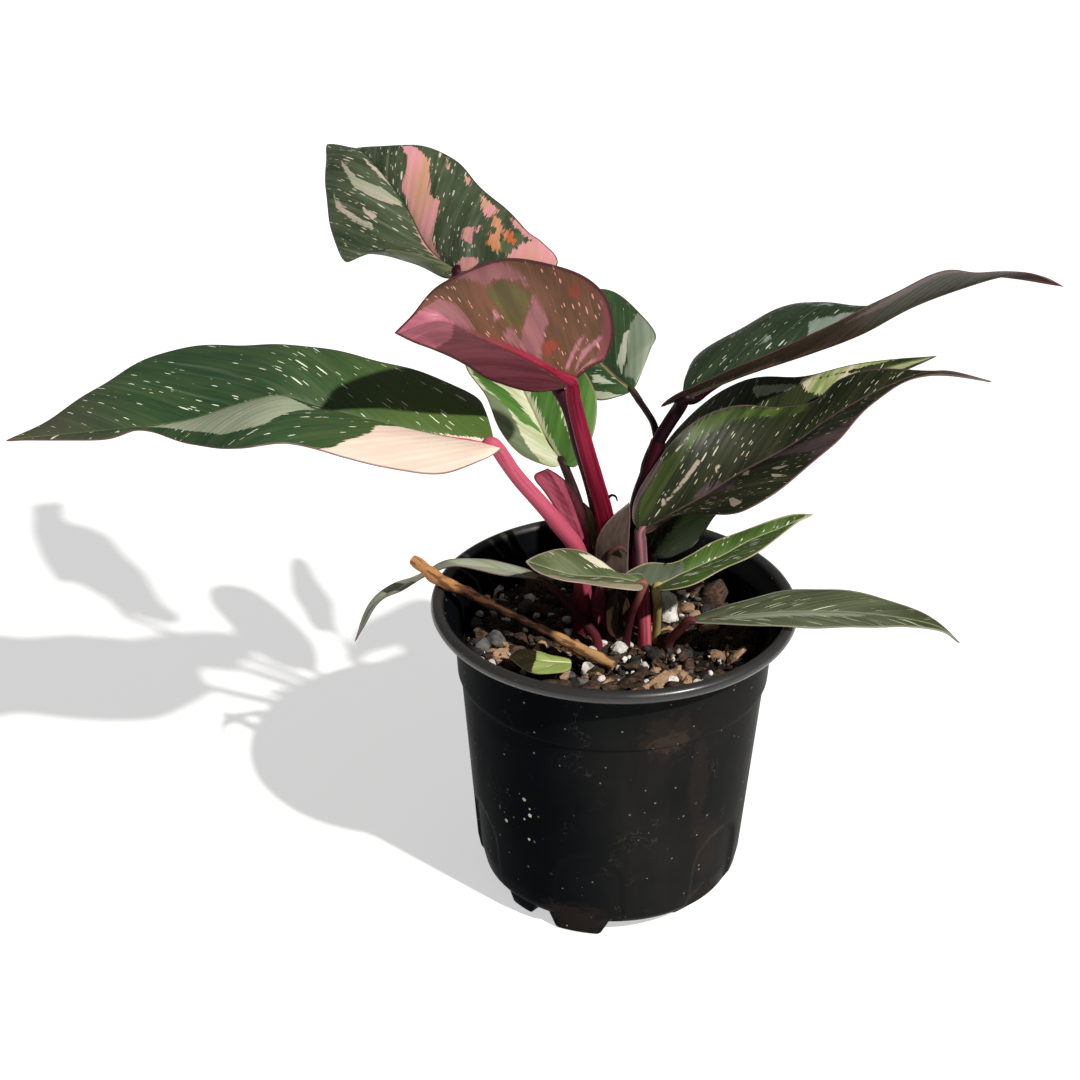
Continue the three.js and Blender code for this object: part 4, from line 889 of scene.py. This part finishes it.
def pot_foot(name, degrees, half, sole, material):
    work = bmesh.new()
    bmesh.ops.create_cube(work, size=1.0)
    bmesh.ops.bevel(work, geom=list(work.edges), offset=0.09, segments=3, profile=0.6, affect="EDGES")
    bmesh.ops.subdivide_edges(work, edges=[e for e in work.edges if abs(e.verts[0].co.x - e.verts[1].co.x) > 0.3],
                              cuts=8, use_grid_fill=True)
    for vertex in work.verts:
        height = (vertex.co.z + 0.5) * FOOT_HEIGHT
        low = min(1.0, height / FOOT_SHOULDER)
        across = vertex.co.x * 2 * half * (0.6 + 0.4 * low)
        depth = (sole - FOOT_INSIDE) * (1 - low) + FOOT_DEPTH * low
        reach = FOOT_INSIDE + (vertex.co.y + 0.5) * depth
        angle = heading(degrees) + across / PRESSED_INSIDE
        vertex.co = (reach * math.cos(angle), reach * math.sin(angle), height)
    # Setting the block round the pot turns it inside out.
    bmesh.ops.reverse_faces(work, faces=work.faces[:])
    return new_piece(name, work, [material], "pot_plastic")


# Dried soil on the pot: a splash under the rim, two runs down the right side, smears at the feet. Each has its
# spot and size in metres, how ragged it is, the scale of that, its share and its colour.
SMEARS = (
    ((0.0165, -0.050, 0.082), (0.011, 0.03, 0.011), 2.2, 300.0, 0.45, "2d2621"),
    ((0.0165, -0.050, 0.080), (0.008, 0.03, 0.005), 3.0, 520.0, 0.4, "40362e"),
    ((0.027, -0.042, 0.060), (0.004, 0.03, 0.024), 0.9, 160.0, 0.4, "2c2520"),
    ((0.031, -0.036, 0.030), (0.005, 0.03, 0.018), 0.9, 160.0, 0.4, "2c2520"),
    ((-0.012, -0.041, 0.006), (0.014, 0.03, 0.008), 2.2, 320.0, 0.5, "2b241f"),
    ((0.028, -0.030, 0.006), (0.014, 0.03, 0.010), 2.2, 320.0, 0.5, "26211d"),
)
SPECK_CLUSTER = ((-0.0305, -0.0365, 0.043), (0.007, 0.03, 0.013), 1.4, 160.0)


def pot_material():
    paint = Paint("pot_black_plastic", 0.3)
    place = paint.place()
    x, y, z = paint.parts(place)
    broad = paint.noise(place, 28.0, 3.0, 0.6)
    paint.color = paint.mix(broad.step(0.35, 0.75), "06080b", "0b0d10")
    # The front of the right-hand half of the outside is painted lighter, as painted light from the key on that
    # side, and lighter still further right.
    painted_light_side = x.step(-0.026, 0.004) * y.step(0.03, 0.0)
    paint.coat(painted_light_side, paint.mix(broad.step(0.3, 0.8), "151617", "1e1e1d"))
    paint.coat(x.step(0.005, 0.045, 0.0, 0.3), "242322")
    rim = z.step(0.0995, 0.1012) * paint.math("SQRT", x * x + y * y, 0.0).step(0.0555, 0.0565)
    paint.put(paint.sockets["Specular IOR Level"], rim * 0.4 + 0.005)
    # The outer rim's lighter grey is a painted highlight.
    paint.coat(rim, "2c2c2b")
    haze = paint.noise(place, 60.0, 4.0, 0.65, (1.0, 1.0, 0.18))
    # Mottled patches on the painted light side are painted lighter still.
    paint.coat(haze.step(0.5, 0.8, 0.0, 0.25) * painted_light_side, "2b2926")

    def patch(spot, size, rag, scale):
        """A ragged patch round a spot."""
        offset = paint.node("VectorMath", {0: place, 1: spot}, operation="SUBTRACT")
        spread = paint.node("VectorMath", {0: offset, 1: size}, operation="DIVIDE")
        length = paint.node("VectorMath", {0: spread}, "Value", operation="LENGTH")
        return (length + (paint.noise(place, scale, 5.0, 0.7) - 0.5) * rag).step(1.0, 0.5)

    def specks(scale, keep, reach):
        distance, draw = paint.cells(place, scale)
        return (draw.step(1 - keep, 1.0, 0.0, reach) - distance).step(0.0, 0.06)

    for spot, size, rag, scale, share, code in SMEARS:
        paint.coat(patch(spot, size, rag, scale) * share, code)
    hair = abs(paint.noise(place, 150.0, 3.0, 0.6) - 0.5)
    worn = paint.noise(place, 70.0, 2.0).step(0.56, 0.68)
    paint.coat(hair.step(0.012, 0.0) * (worn * 0.5), "4a4640")
    paint.coat(specks(300.0, 0.1, 0.2) * paint.noise(place, 45.0, 2.0).step(0.45, 0.6), "5f5952")
    paint.coat(specks(620.0, 0.08, 0.26) * 0.6, "8a8378")
    paint.coat(specks(520.0, 0.4, 0.42) * patch(*SPECK_CLUSTER), "c4bcac")
    scratch = paint.noise(place, 240.0, 4.0, 0.6, (1.0, 1.0, 0.3))
    return paint.finish(scratch, 0.16, 0.0003, haze.step(0.35, 0.75, 0.26, 0.42))


# ---------------------------------------------------------------- the soil

BED_TOP = 88.2
BED_RADIUS = 49.0
BED_PROFILE = [(0, 10.3), (40.7, 10.3), (41.1, 15.1), (43, 18.2), (48.4, 78.2), (49.4, 79.8), (50.0, 86)]
BED_RINGS = 44
BED_SEGMENTS = 120
LUMPY_FROM = 86.5
STREWN_REACH = 48


def soil_bed(material):
    """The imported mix: the filled inside of the pot, with a lumpy top."""
    top = [(50 - 50 * k / BED_RINGS, BED_TOP - 1 + 0.9 * k / BED_RINGS) for k in range(BED_RINGS + 1)]
    work = bmesh.new()
    turned(work, BED_PROFILE + top, BED_SEGMENTS)
    for vertex in sealed(work).verts:
        x, y, height = vertex.co
        if height > LUMPY_FROM:
            lump = math.sin(x * 0.9 + 1.3) * math.sin(y * 0.8) + math.sin(x * 1.7 + y * 1.1) * 0.6
            vertex.co.z += 0.5 * lump
    return new_piece("soil_bed", work, [material], "potting_mix", ["soil_mix"])


def chunk_points(points, rng, size, shape, power, rough):
    """A ball made into a chip, chunk or grain: squared off, cut flat in places, dented, pressed and turned."""
    points = np.sign(points) * np.abs(points) ** power
    for _ in range(5):
        cut = unit(rng.normal(size=3))
        depth = points @ cut
        limit = rng.uniform(0.55, 0.95) * depth.max()
        points -= np.maximum(depth - limit, 0)[:, None] * cut * 0.85
    waves = rng.normal(size=(5, 3)) * 2.6
    turns = rng.uniform(0, 6.28, 5)
    points *= 1 + rough * sum(np.sin(points @ w + t) for w, t in zip(waves, turns))[:, None]
    points += rng.normal(size=points.shape) * rough * 0.25
    points *= np.array(shape) * size * 0.5
    tilt_x, tilt_y = rng.uniform(-0.7, 0.7, 2)
    turn = Matrix.Rotation(rng.uniform(0, 6.28), 3, "Z")
    turn = turn @ Matrix.Rotation(tilt_x, 3, "X") @ Matrix.Rotation(tilt_y, 3, "Y")
    return points @ np.array(turn).T


def add_balls(work, detail, count):
    """Adds equal balls to a mesh, by doubling, which is quicker than one by one."""
    starts = [len(part) for part in parts_of(work)]
    bmesh.ops.create_icosphere(work, subdivisions=detail, radius=1.0)
    sizes = [len(part) for part in parts_of(work, starts)]
    made = 1
    while made < count:
        more = min(made, count - made)
        copied = [part[:more * size] for part, size in zip(parts_of(work, starts), sizes)]
        bmesh.ops.duplicate(work, geom=sum(copied, []))
        made += more


def chunk_piece(name, material, chunks, seed, shape_range, power, rough):
    rng = np.random.default_rng(seed)
    work = bmesh.new()
    layer = work.verts.layers.float.new("tone")
    details = [chunk[4] for chunk in chunks]
    for detail in dict.fromkeys(details):
        add_balls(work, detail, details.count(detail))
    vertices, start = work.verts[:], 0
    for x, y, z, size, detail in chunks:
        end = start + 10 * 4 ** (detail - 1) + 2
        ball, start = vertices[start:end], end
        shape = [rng.uniform(*span) for span in shape_range]
        points = chunk_points(places_of(ball), rng, size, shape, power, rough)
        points += np.array([x, y, z - points[:, 2].min() * 0.45])
        reach = np.hypot(points[:, 0], points[:, 1])
        points[:, :2] *= np.minimum(1, BED_RADIUS / np.maximum(reach, 1e-6))[:, None]
        tone = rng.uniform()
        for vertex, place in zip(ball, points):
            vertex.co = place
            vertex[layer] = tone
    return new_piece(name, work, [material], "potting_mix", ["soil_mix"], angle=32)


def scattered(rng, count, low, high, lift=(-1.6, 0.8), detail=2):
    """Chunks laid over the bed at random: place, size and detail."""
    chunks = []
    for _ in range(count):
        reach, angle = STREWN_REACH * math.sqrt(rng.uniform()), rng.uniform(0, TURN)
        size, height = rng.uniform(low, high), BED_TOP + rng.uniform(*lift)
        chunks.append((reach * math.cos(angle), reach * math.sin(angle), height, size, detail))
    return chunks


def chunk_material(name, dark, light, scale, roughness, stretch=(1.0, 1.0, 1.0), pits=0.5, accent=None):
    """A chip or grain. Each has its own tone, and those above the accent's tone take its colour."""
    paint = Paint(name, roughness, 0.25)
    place = paint.place()
    tone = paint.field("tone", "Fac")
    grain = paint.noise(place, scale, 5.0, 0.65, stretch)
    paint.color = paint.mix(grain.step(0.3, 0.7), dark, light)
    paint.coat(tone.step(0.0, 1.0, 0.55, 0.0), dark)
    if accent:
        paint.coat(tone.step(accent[1], accent[1] + 0.06) * grain.step(0.25, 0.6, 0.5, 1.0), accent[0])
    dirt = paint.noise(place, 330.0, 3.0, 0.6)
    paint.coat(dirt.step(0.58, 0.7, 0.0, pits), "140f0c")
    return paint.finish(grain + dirt * 0.5, 0.8, 0.0006)


# ---------------------------------------------------------------- leaves and stalks

UPPER = {
    "top": dict(dark="34402a", light="4e5a42", flecks="c8c4b2", grey="7d8574", margin="4a3232",
        midrib="2e3a24", fleck_keep=0.6, fine_keep=0.95, density=(0.08, 0.22), wisps=0.6,
        fleck_shape=(1.2, 2.7, 2.2, 4.4), fleck_width=0.25, streaks=0.22),
    "cupped": dict(dark="4d5634", light="6d6244", flecks="dcb0a6", margin="5a2028", midrib="a84a5a"),
    "left_long": dict(dark="223c26", light="384e2c", flecks="d8dcc6", grey="55624c", margin="5f4340",
        midrib="56683f", fleck_keep=0.42, fine_keep=0.85, density=(0.2, 0.38), base=("4c6228", 78),
        tip=("474438", 112), fleck_width=0.22),
    "back_left": dict(dark="a0ab78", light="d4d4ba", flecks="e6e8cc", margin="7d6a52", midrib="8a8a5c"),
    "back_right": dict(dark="2c4a2a", light="446038", flecks="d6dcc8", margin="3f4a35", midrib="9a8a62",
        midrib_width=0.7, fleck_keep=0.5, fine_keep=0.7, fleck_shape=(1.3, 2.4, 2.4, 4.2)),
    "upper_right": dict(dark="1d2c1a", light="33432b", flecks="c6ccbc", grey="56665a", margin="84646a",
        midrib="4a4038", fleck_keep=0.45, fine_keep=0.9, density=(0.14, 0.3), tip=("2e2b1f", 84),
        fleck_shape=(1.3, 3.4, 2.2, 5.4)),
    "middle_right": dict(dark="1c2216", light="2e321d", flecks="bcb89e", grey="4a463a", margin="64504e",
        streaks=0.2, gloss=0.14, midrib="544440", midrib_width=0.8, fleck_keep=0.5, fine_keep=0.9,
        density=(0.14, 0.3), fleck_shape=(1.2, 2.6, 2.2, 4.4), wisps=0.3, fleck_width=0.23),
    "behind_right": dict(dark="22291a", light="373d25", flecks="b4bb9c", grey="4c5644", margin="4a3a38",
        midrib="5a6a40", fleck_keep=0.4, fine_keep=0.7, density=(0.2, 0.36), gloss=0.1),
    "low_centre": dict(dark="434f2d", light="636d4a", flecks="d5d9c3", grey="7a846a", margin="a5958a",
        midrib="8a8a70", wisps=0.5, fleck_keep=0.45, fine_keep=0.8, density=(0.14, 0.3)),
    "low_right_short": dict(dark="34491e", light="4f6a2c", flecks="dde0c6", margin="a89c80", midrib="98a070",
        fleck_keep=0.55, fine_keep=0.95, density=(0.06, 0.2), wisps=0.5, fleck_shape=(1.6, 3.0, 2.6, 5.0),
        fleck_width=0.3),
    "low_right_long": dict(dark="38422b", light="5b634a", flecks="c3c6ac", grey="7c806a", margin="8f8a7c",
        midrib="7c8468", fleck_keep=0.5, fine_keep=0.9, density=(0.12, 0.26), sweep=3.4, wisps=0.6,
        tip=("353d22", 60), fleck_width=0.25),
    "low_left": dict(dark="7b836d", light="a2a893", flecks="c4c8b4", grey="a5ad98", margin="7a5a58",
        midrib="8d8a78", sweep=3.4),
}
LOWER = {
    "top": dict(dark="3a2c26", light="4c4034", flecks="8a7a6a", margin="4a3232", midrib="5c3a3a"),
    "cupped": dict(dark="4d3826", light="684434", flecks="c48a80", margin="35101a", midrib="8c1f3a",
        midrib_width=1.5, midrib_end=52, margin_width=1.2, fleck_keep=0.22, fine_keep=0.6,
        density=(0.2, 0.36), wisps=0.1, veins=0.0, gloss=0.2, soft=0.5, streaks=0.25,
        fleck_shape=(1.2, 2.2, 2.2, 3.6), fleck_width=0.26),
    "left_long": dict(dark="3a4030", light="565c46", flecks="9a9a84", margin="6b4a48", midrib="8a4a52"),
    "back_left": dict(dark="5d6d42", light="7f8a5c", flecks="c6c8ac", midrib="7a5a4a"),
    "back_right": dict(dark="4a5a3e", light="66735a", flecks="b6bca8", midrib="7a5a4a"),
    # upper_right's underside is darkened towards its tip as painted shade.
    "upper_right": dict(dark="2c251b", light="43362c", flecks="7a6258", margin="5a3a3c", midrib="4a2a2c",
        grey="4c4038", fleck_keep=0.12, fine_keep=0.2, wisps=0.2, tip=("2c271d", 84), gloss=0.12),
    "middle_right": dict(dark="3a3029", light="574a40", flecks="8a7a6c", margin="7c5c5e", midrib="5a2c34"),
    "behind_right": dict(dark="3a342a", light="54503c", flecks="8a8670", midrib="4a2a2c"),
    "low_centre": dict(dark="5c4a3e", light="7a6252", flecks="a89886", margin="a5958a", midrib="7a3a3c"),
    "low_right_short": dict(dark="55492e", light="7a6c46", flecks="a89a7a", margin="b0a488", midrib="7a4a3c"),
    "low_right_long": dict(dark="50483a", light="6c6450", flecks="98927c", midrib="7a4a4a"),
    "low_left": dict(dark="4a4038", light="655a4e", flecks="8c8474", midrib="6a3a3c"),
}
# A stalk's pale colour is painted highlight lines along it.
STALK_LOOKS = {
    "top": dict(low="3d0d18", middle="220810", high="33101c"),
    "cupped": dict(low="28020b", middle="600a20", high="7c1a32", stops=(34, 50, 60, 85), streak="240309",
        streak_share=0.8, pale="ac2c48"),
    # left_long's stalk is darker at its low end as painted shade in the crown.
    "left_long": dict(low="5a1a2a", middle="a8485c", high="b45468", stops=(14, 36, 40, 70), streak="7c283e",
        streak_share=0.7),
    "back_left": dict(low="1c0e12", middle="221214", high="3a2c28"),
    "back_right": dict(low="1c1014", middle="241416", high="54443a", stops=(0, 18, 18, 32)),
    "upper_right": dict(low="20060d", middle="290812", high="16060a", stops=(0, 40, 78, 92), streak="100306",
        pale="380a18"),
    "middle_right": dict(low="8a3040", middle="9c3c4a", high="5e484c", stops=(0, 20, 28, 40), streak="6e2436",
        pale="bc6a76"),
    "behind_right": dict(low="3a1418", middle="3a1a1a", high="4a2c28"),
    # low_centre's stalk is painted dark as painted shade in the crown.
    "low_centre": dict(low="421820", middle="4c2228", high="8a544c", stops=(0, 20, 26, 38)),
    "low_right_short": dict(low="8f8450", middle="a0945c", high="8a854e", streak="6a5a34"),
    "low_right_long": dict(low="4a2424", middle="5c3230", high="805048"),
    "low_left": dict(low="6a2430", middle="3e1c20", high="4a3430", stops=(8, 18, 22, 38)),
}
# A leaf with a rib of its own height has a finer mesh. The others share a lower rib.
RIDGES = {"cupped": 0.55, "top": 0.8, "left_long": 0.9, "middle_right": 0.9, "upper_right": 0.7}
LOW_RIDGE = 0.45
SLOTS = {
    "top": ("leaf_green", "stalk_maroon"), "cupped": ("leaf_pink", "stalk_crimson"),
    "left_long": ("leaf_green", "stalk_pink"), "back_left": ("leaf_light", "stalk_maroon"),
    "back_right": ("leaf_light", "stalk_maroon"), "upper_right": ("leaf_dark", "stalk_maroon"),
    "middle_right": ("leaf_dark", "stalk_pink"), "behind_right": ("leaf_dark", "stalk_maroon"),
    "low_centre": ("leaf_light", "stalk_red"), "low_right_short": ("leaf_light", "stalk_olive"),
    "low_right_long": ("leaf_green", "stalk_red"), "low_left": ("leaf_green", "stalk_red"),
}

for order, (label, leaf) in enumerate(LEAVES.items()):
    sides = [
        leaf_material(f"leaf_{label}_upper_side", seed=1.7 * order + 1, sectors=UPPER_SECTORS.get(label, ()),
                      **UPPER[label]),
        leaf_material(f"leaf_{label}_underside", seed=1.3 * order + 4, sectors=LOWER_SECTORS.get(label, ()),
                      **LOWER[label])]
    leaf["sectors"] = SECTORS.get(label, {})
    leaf_slot, stalk_slot = SLOTS[label]
    sheet_piece(f"leaf_{label}", leaf, sides, leaf_slot, [f"blade_{label}"], rows=120 if label in RIDGES else 80,
                ridge=RIDGES.get(label, LOW_RIDGE), seed=order + 1)
    stalk_piece(f"petiole_{label}", stalk_parts(leaf), stalk_material(f"stalk_of_{label}", **STALK_LOOKS[label]),
                stalk_slot, [f"stalk_{label}"], seed=order + 2, flute=0.03)
for name, small in SMALL_PIECES.items():
    if "route" in small:
        stalk_piece(name, [(small["route"], small["radii"], 0.0)], stalk_material(**small["skin"]), small["slot"],
                    small["nodes"], **small["shape"])
    else:
        skin = leaf_material(**small["skin"])
        sheet_piece(name, small, [skin, skin], small["slot"], small["nodes"], **small["shape"])

# ---------------------------------------------------------------- the pot and the soil in it

plastic = pot_material()
pot_wall(plastic)
for number, (degrees, half, sole) in enumerate(FEET, 1):
    pot_foot(f"pot_foot_{number}", degrees, half, sole, plastic)
pad_work = bmesh.new()
turned(pad_work, PAD, PAD_SEGMENTS)
new_piece("pot_base_pad", sealed(pad_work), [plastic], "pot_plastic", angle=40)

# The larger pieces of the mix, each with its place and size, and their height over the bed.
BARK_SPOTS = ((-44, 25, 8), (5, -27, 9), (14, -29, 7), (-18, -32, 9), (-10, -34, 8), (35, 27, 12), (28, 33, 9),
    (38, 1, 8), (-37, -24, 8))
PERLITE_SPOTS = ((18.5, 17, 12), (-38.5, 15, 6.5), (-36, 11, 4.5), (-40, 31, 5.5), (-28, 24, 4.5), (-9, -21, 5.5),
    (2, -7, 5.5), (-18, -24, 5), (18, -27, 4.5), (26, -28, 4))
CHARCOAL_SPOTS = ((-45, -9, 6), (-37, 21, 6), (-23, -26, 10))
PEBBLE_SPOTS = ((-38.5, -3, 9.5), (-43, -7, 6), (-45.4, 7, 5.5), (-29, 19, 6.5), (-5, 34, 5))


def placed(spots, height=0.0, growth=1.0):
    return [(x, y, BED_TOP + height, size * growth, 3) for x, y, size in spots]


# The bed's fine soil is painted near-black.
soil_bed(chunk_material("near_black_fine_soil", "0c0907", "231a14", 700.0, 0.95))
rng = np.random.default_rng(11)
bark = placed(BARK_SPOTS, growth=1.1) + scattered(rng, 520, 2.5, 7.5)
perlite = placed(PERLITE_SPOTS, 0.6) + scattered(rng, 120, 1.0, 3.6, lift=(-0.4, 1.4))
charcoal = placed(CHARCOAL_SPOTS, 0.4) + scattered(rng, 190, 2.0, 6.0)
pebbles = placed(PEBBLE_SPOTS, 1.2) + scattered(rng, 26, 2.0, 5.0, lift=(0, 1.4))
grit = scattered(rng, 900, 0.5, 1.7, lift=(-0.2, 1.8), detail=1)
chunk_piece("bark_chips", chunk_material("bark_of_the_mix", "1f1611", "66503f", 420.0, 0.9, (1.0, 1.0, 3.0),
                                         accent=("a38468", 0.76)),
            bark, 21, ((0.9, 1.3), (0.55, 0.9), (0.3, 0.6)), 0.62, 0.05)
chunk_piece("perlite_grains", chunk_material("white_perlite", "b9b4aa", "f1eee8", 520.0, 0.95, pits=0.65),
            perlite, 22, ((0.85, 1.1), (0.8, 1.05), (0.7, 0.95)), 0.9, 0.06)
chunk_piece("grey_pebbles", chunk_material("pebble_of_the_mix", "3a3938", "6c6a68", 300.0, 0.9, pits=0.1),
            pebbles, 25, ((0.95, 1.15), (0.75, 0.95), (0.5, 0.65)), 0.95, 0.03)
chunk_piece("charcoal_pieces", chunk_material("charcoal_of_the_mix", "110f0e", "403e3c", 380.0, 0.8, pits=0.3),
            charcoal, 23, ((0.85, 1.15), (0.7, 1.0), (0.5, 0.85)), 0.85, 0.03)
chunk_piece("fine_grit", chunk_material("grit_of_the_mix", "1a130f", "6e5746", 900.0, 0.9,
                                        accent=("b9a58e", 0.86)),
            grit, 24, ((0.9, 1.6), (0.5, 0.9), (0.4, 0.8)), 0.7, 0.08)

# Root fibres on the bed: how many, how far out they start, how thick they are and where they are held back.
FIBRE_COUNT = 46
FIBRE_REACH = 46
FIBRE_RADII = (0.18, 0.16, 0.1)
FIBRE_LIMITS = (-47, 92)
fibres = []
for _ in range(FIBRE_COUNT):
    reach, angle, turn = FIBRE_REACH * math.sqrt(rng.uniform()), rng.uniform(0, 6.28), rng.uniform(0, 6.28)
    start = np.array([reach * math.cos(angle), reach * math.sin(angle), BED_TOP + rng.uniform(0.8, 2.2)])
    run = rng.uniform(3, 9) * np.array([math.cos(turn), math.sin(turn), 0])
    bow = rng.normal(size=3) * (1.4, 1.4, 0.9)
    route = [start, start + run * 0.5 + bow * 0.7, start + run * 0.8 + bow, start + run]
    fibres.append(([np.clip(point, *FIBRE_LIMITS) for point in route], FIBRE_RADII, 0.0))
fibre_skin = stalk_material("fibre_skin", "5a4636", "3a2a20", "8a7460", stops=(0, 4, 4, 9), roughness=0.8)
stalk_piece("root_fibres", fibres, fibre_skin, "potting_mix", (), sides=6, rings=14)

# ---------------------------------------------------------------- floor, light and camera

floor_work = bmesh.new()
bmesh.ops.create_grid(floor_work, x_segments=1, y_segments=1, size=6)
floor_paint = Paint("pale_floor", 0.9, 0.1)
floor_paint.sockets["Base Color"].default_value = (0.62, 0.62, 0.62, 1.0)
floor_paint.sockets["Emission Color"].default_value = (1.0, 1.0, 1.0, 1.0)
floor_paint.sockets["Emission Strength"].default_value = 0.55
new_object("floor", floor_work, [floor_paint.material])

world = bpy.data.worlds.new("soft_studio")
world.use_nodes = True
sky = world.node_tree.nodes["Background"].inputs
sky["Color"].default_value = (1.0, 1.0, 1.0, 1.0)
sky["Strength"].default_value = 0.16
bpy.context.scene.world = world

key_light = bpy.data.lights.new("key_light", "SUN")
key_light.energy = 4.5
key_light.angle = math.radians(1.5)
key_light.color = (1.0, 0.97, 0.93)
key = bpy.data.objects.new("key_light", key_light)
key.location = Vector((0.504, -0.497, 0.706)).normalized() * 2
key.rotation_euler = (-key.location).to_track_quat("-Z", "Y").to_euler()
bpy.context.collection.objects.link(key)

VIEW_UP = math.radians(28.2)
VIEW_ROLL = math.radians(0.4)
VIEW_FAR = 0.700
VIEW_TARGET = Vector((-0.0244, 0.0, 0.126))
FOCAL_PIXELS = 2170
FRAME_PIXELS = 1080
back = Vector((0.0, -math.cos(VIEW_UP), math.sin(VIEW_UP)))
level_right = Vector((1.0, 0.0, 0.0))
level_up = Vector((0.0, math.sin(VIEW_UP), math.cos(VIEW_UP)))
right = level_right * math.cos(VIEW_ROLL) + level_up * math.sin(VIEW_ROLL)
up = level_up * math.cos(VIEW_ROLL) - level_right * math.sin(VIEW_ROLL)
camera_data = bpy.data.cameras.new("camera")
camera_data.sensor_width = 36.0
camera_data.lens = 36.0 * FOCAL_PIXELS / FRAME_PIXELS
camera_data.clip_start = 0.01
camera = bpy.data.objects.new("camera", camera_data)
turn = Matrix((right, up, back)).transposed().to_4x4()
camera.matrix_world = Matrix.Translation(VIEW_TARGET + back * VIEW_FAR) @ turn
bpy.context.collection.objects.link(camera)
bpy.context.scene.camera = camera
bpy.context.scene.view_settings.view_transform = "Standard"
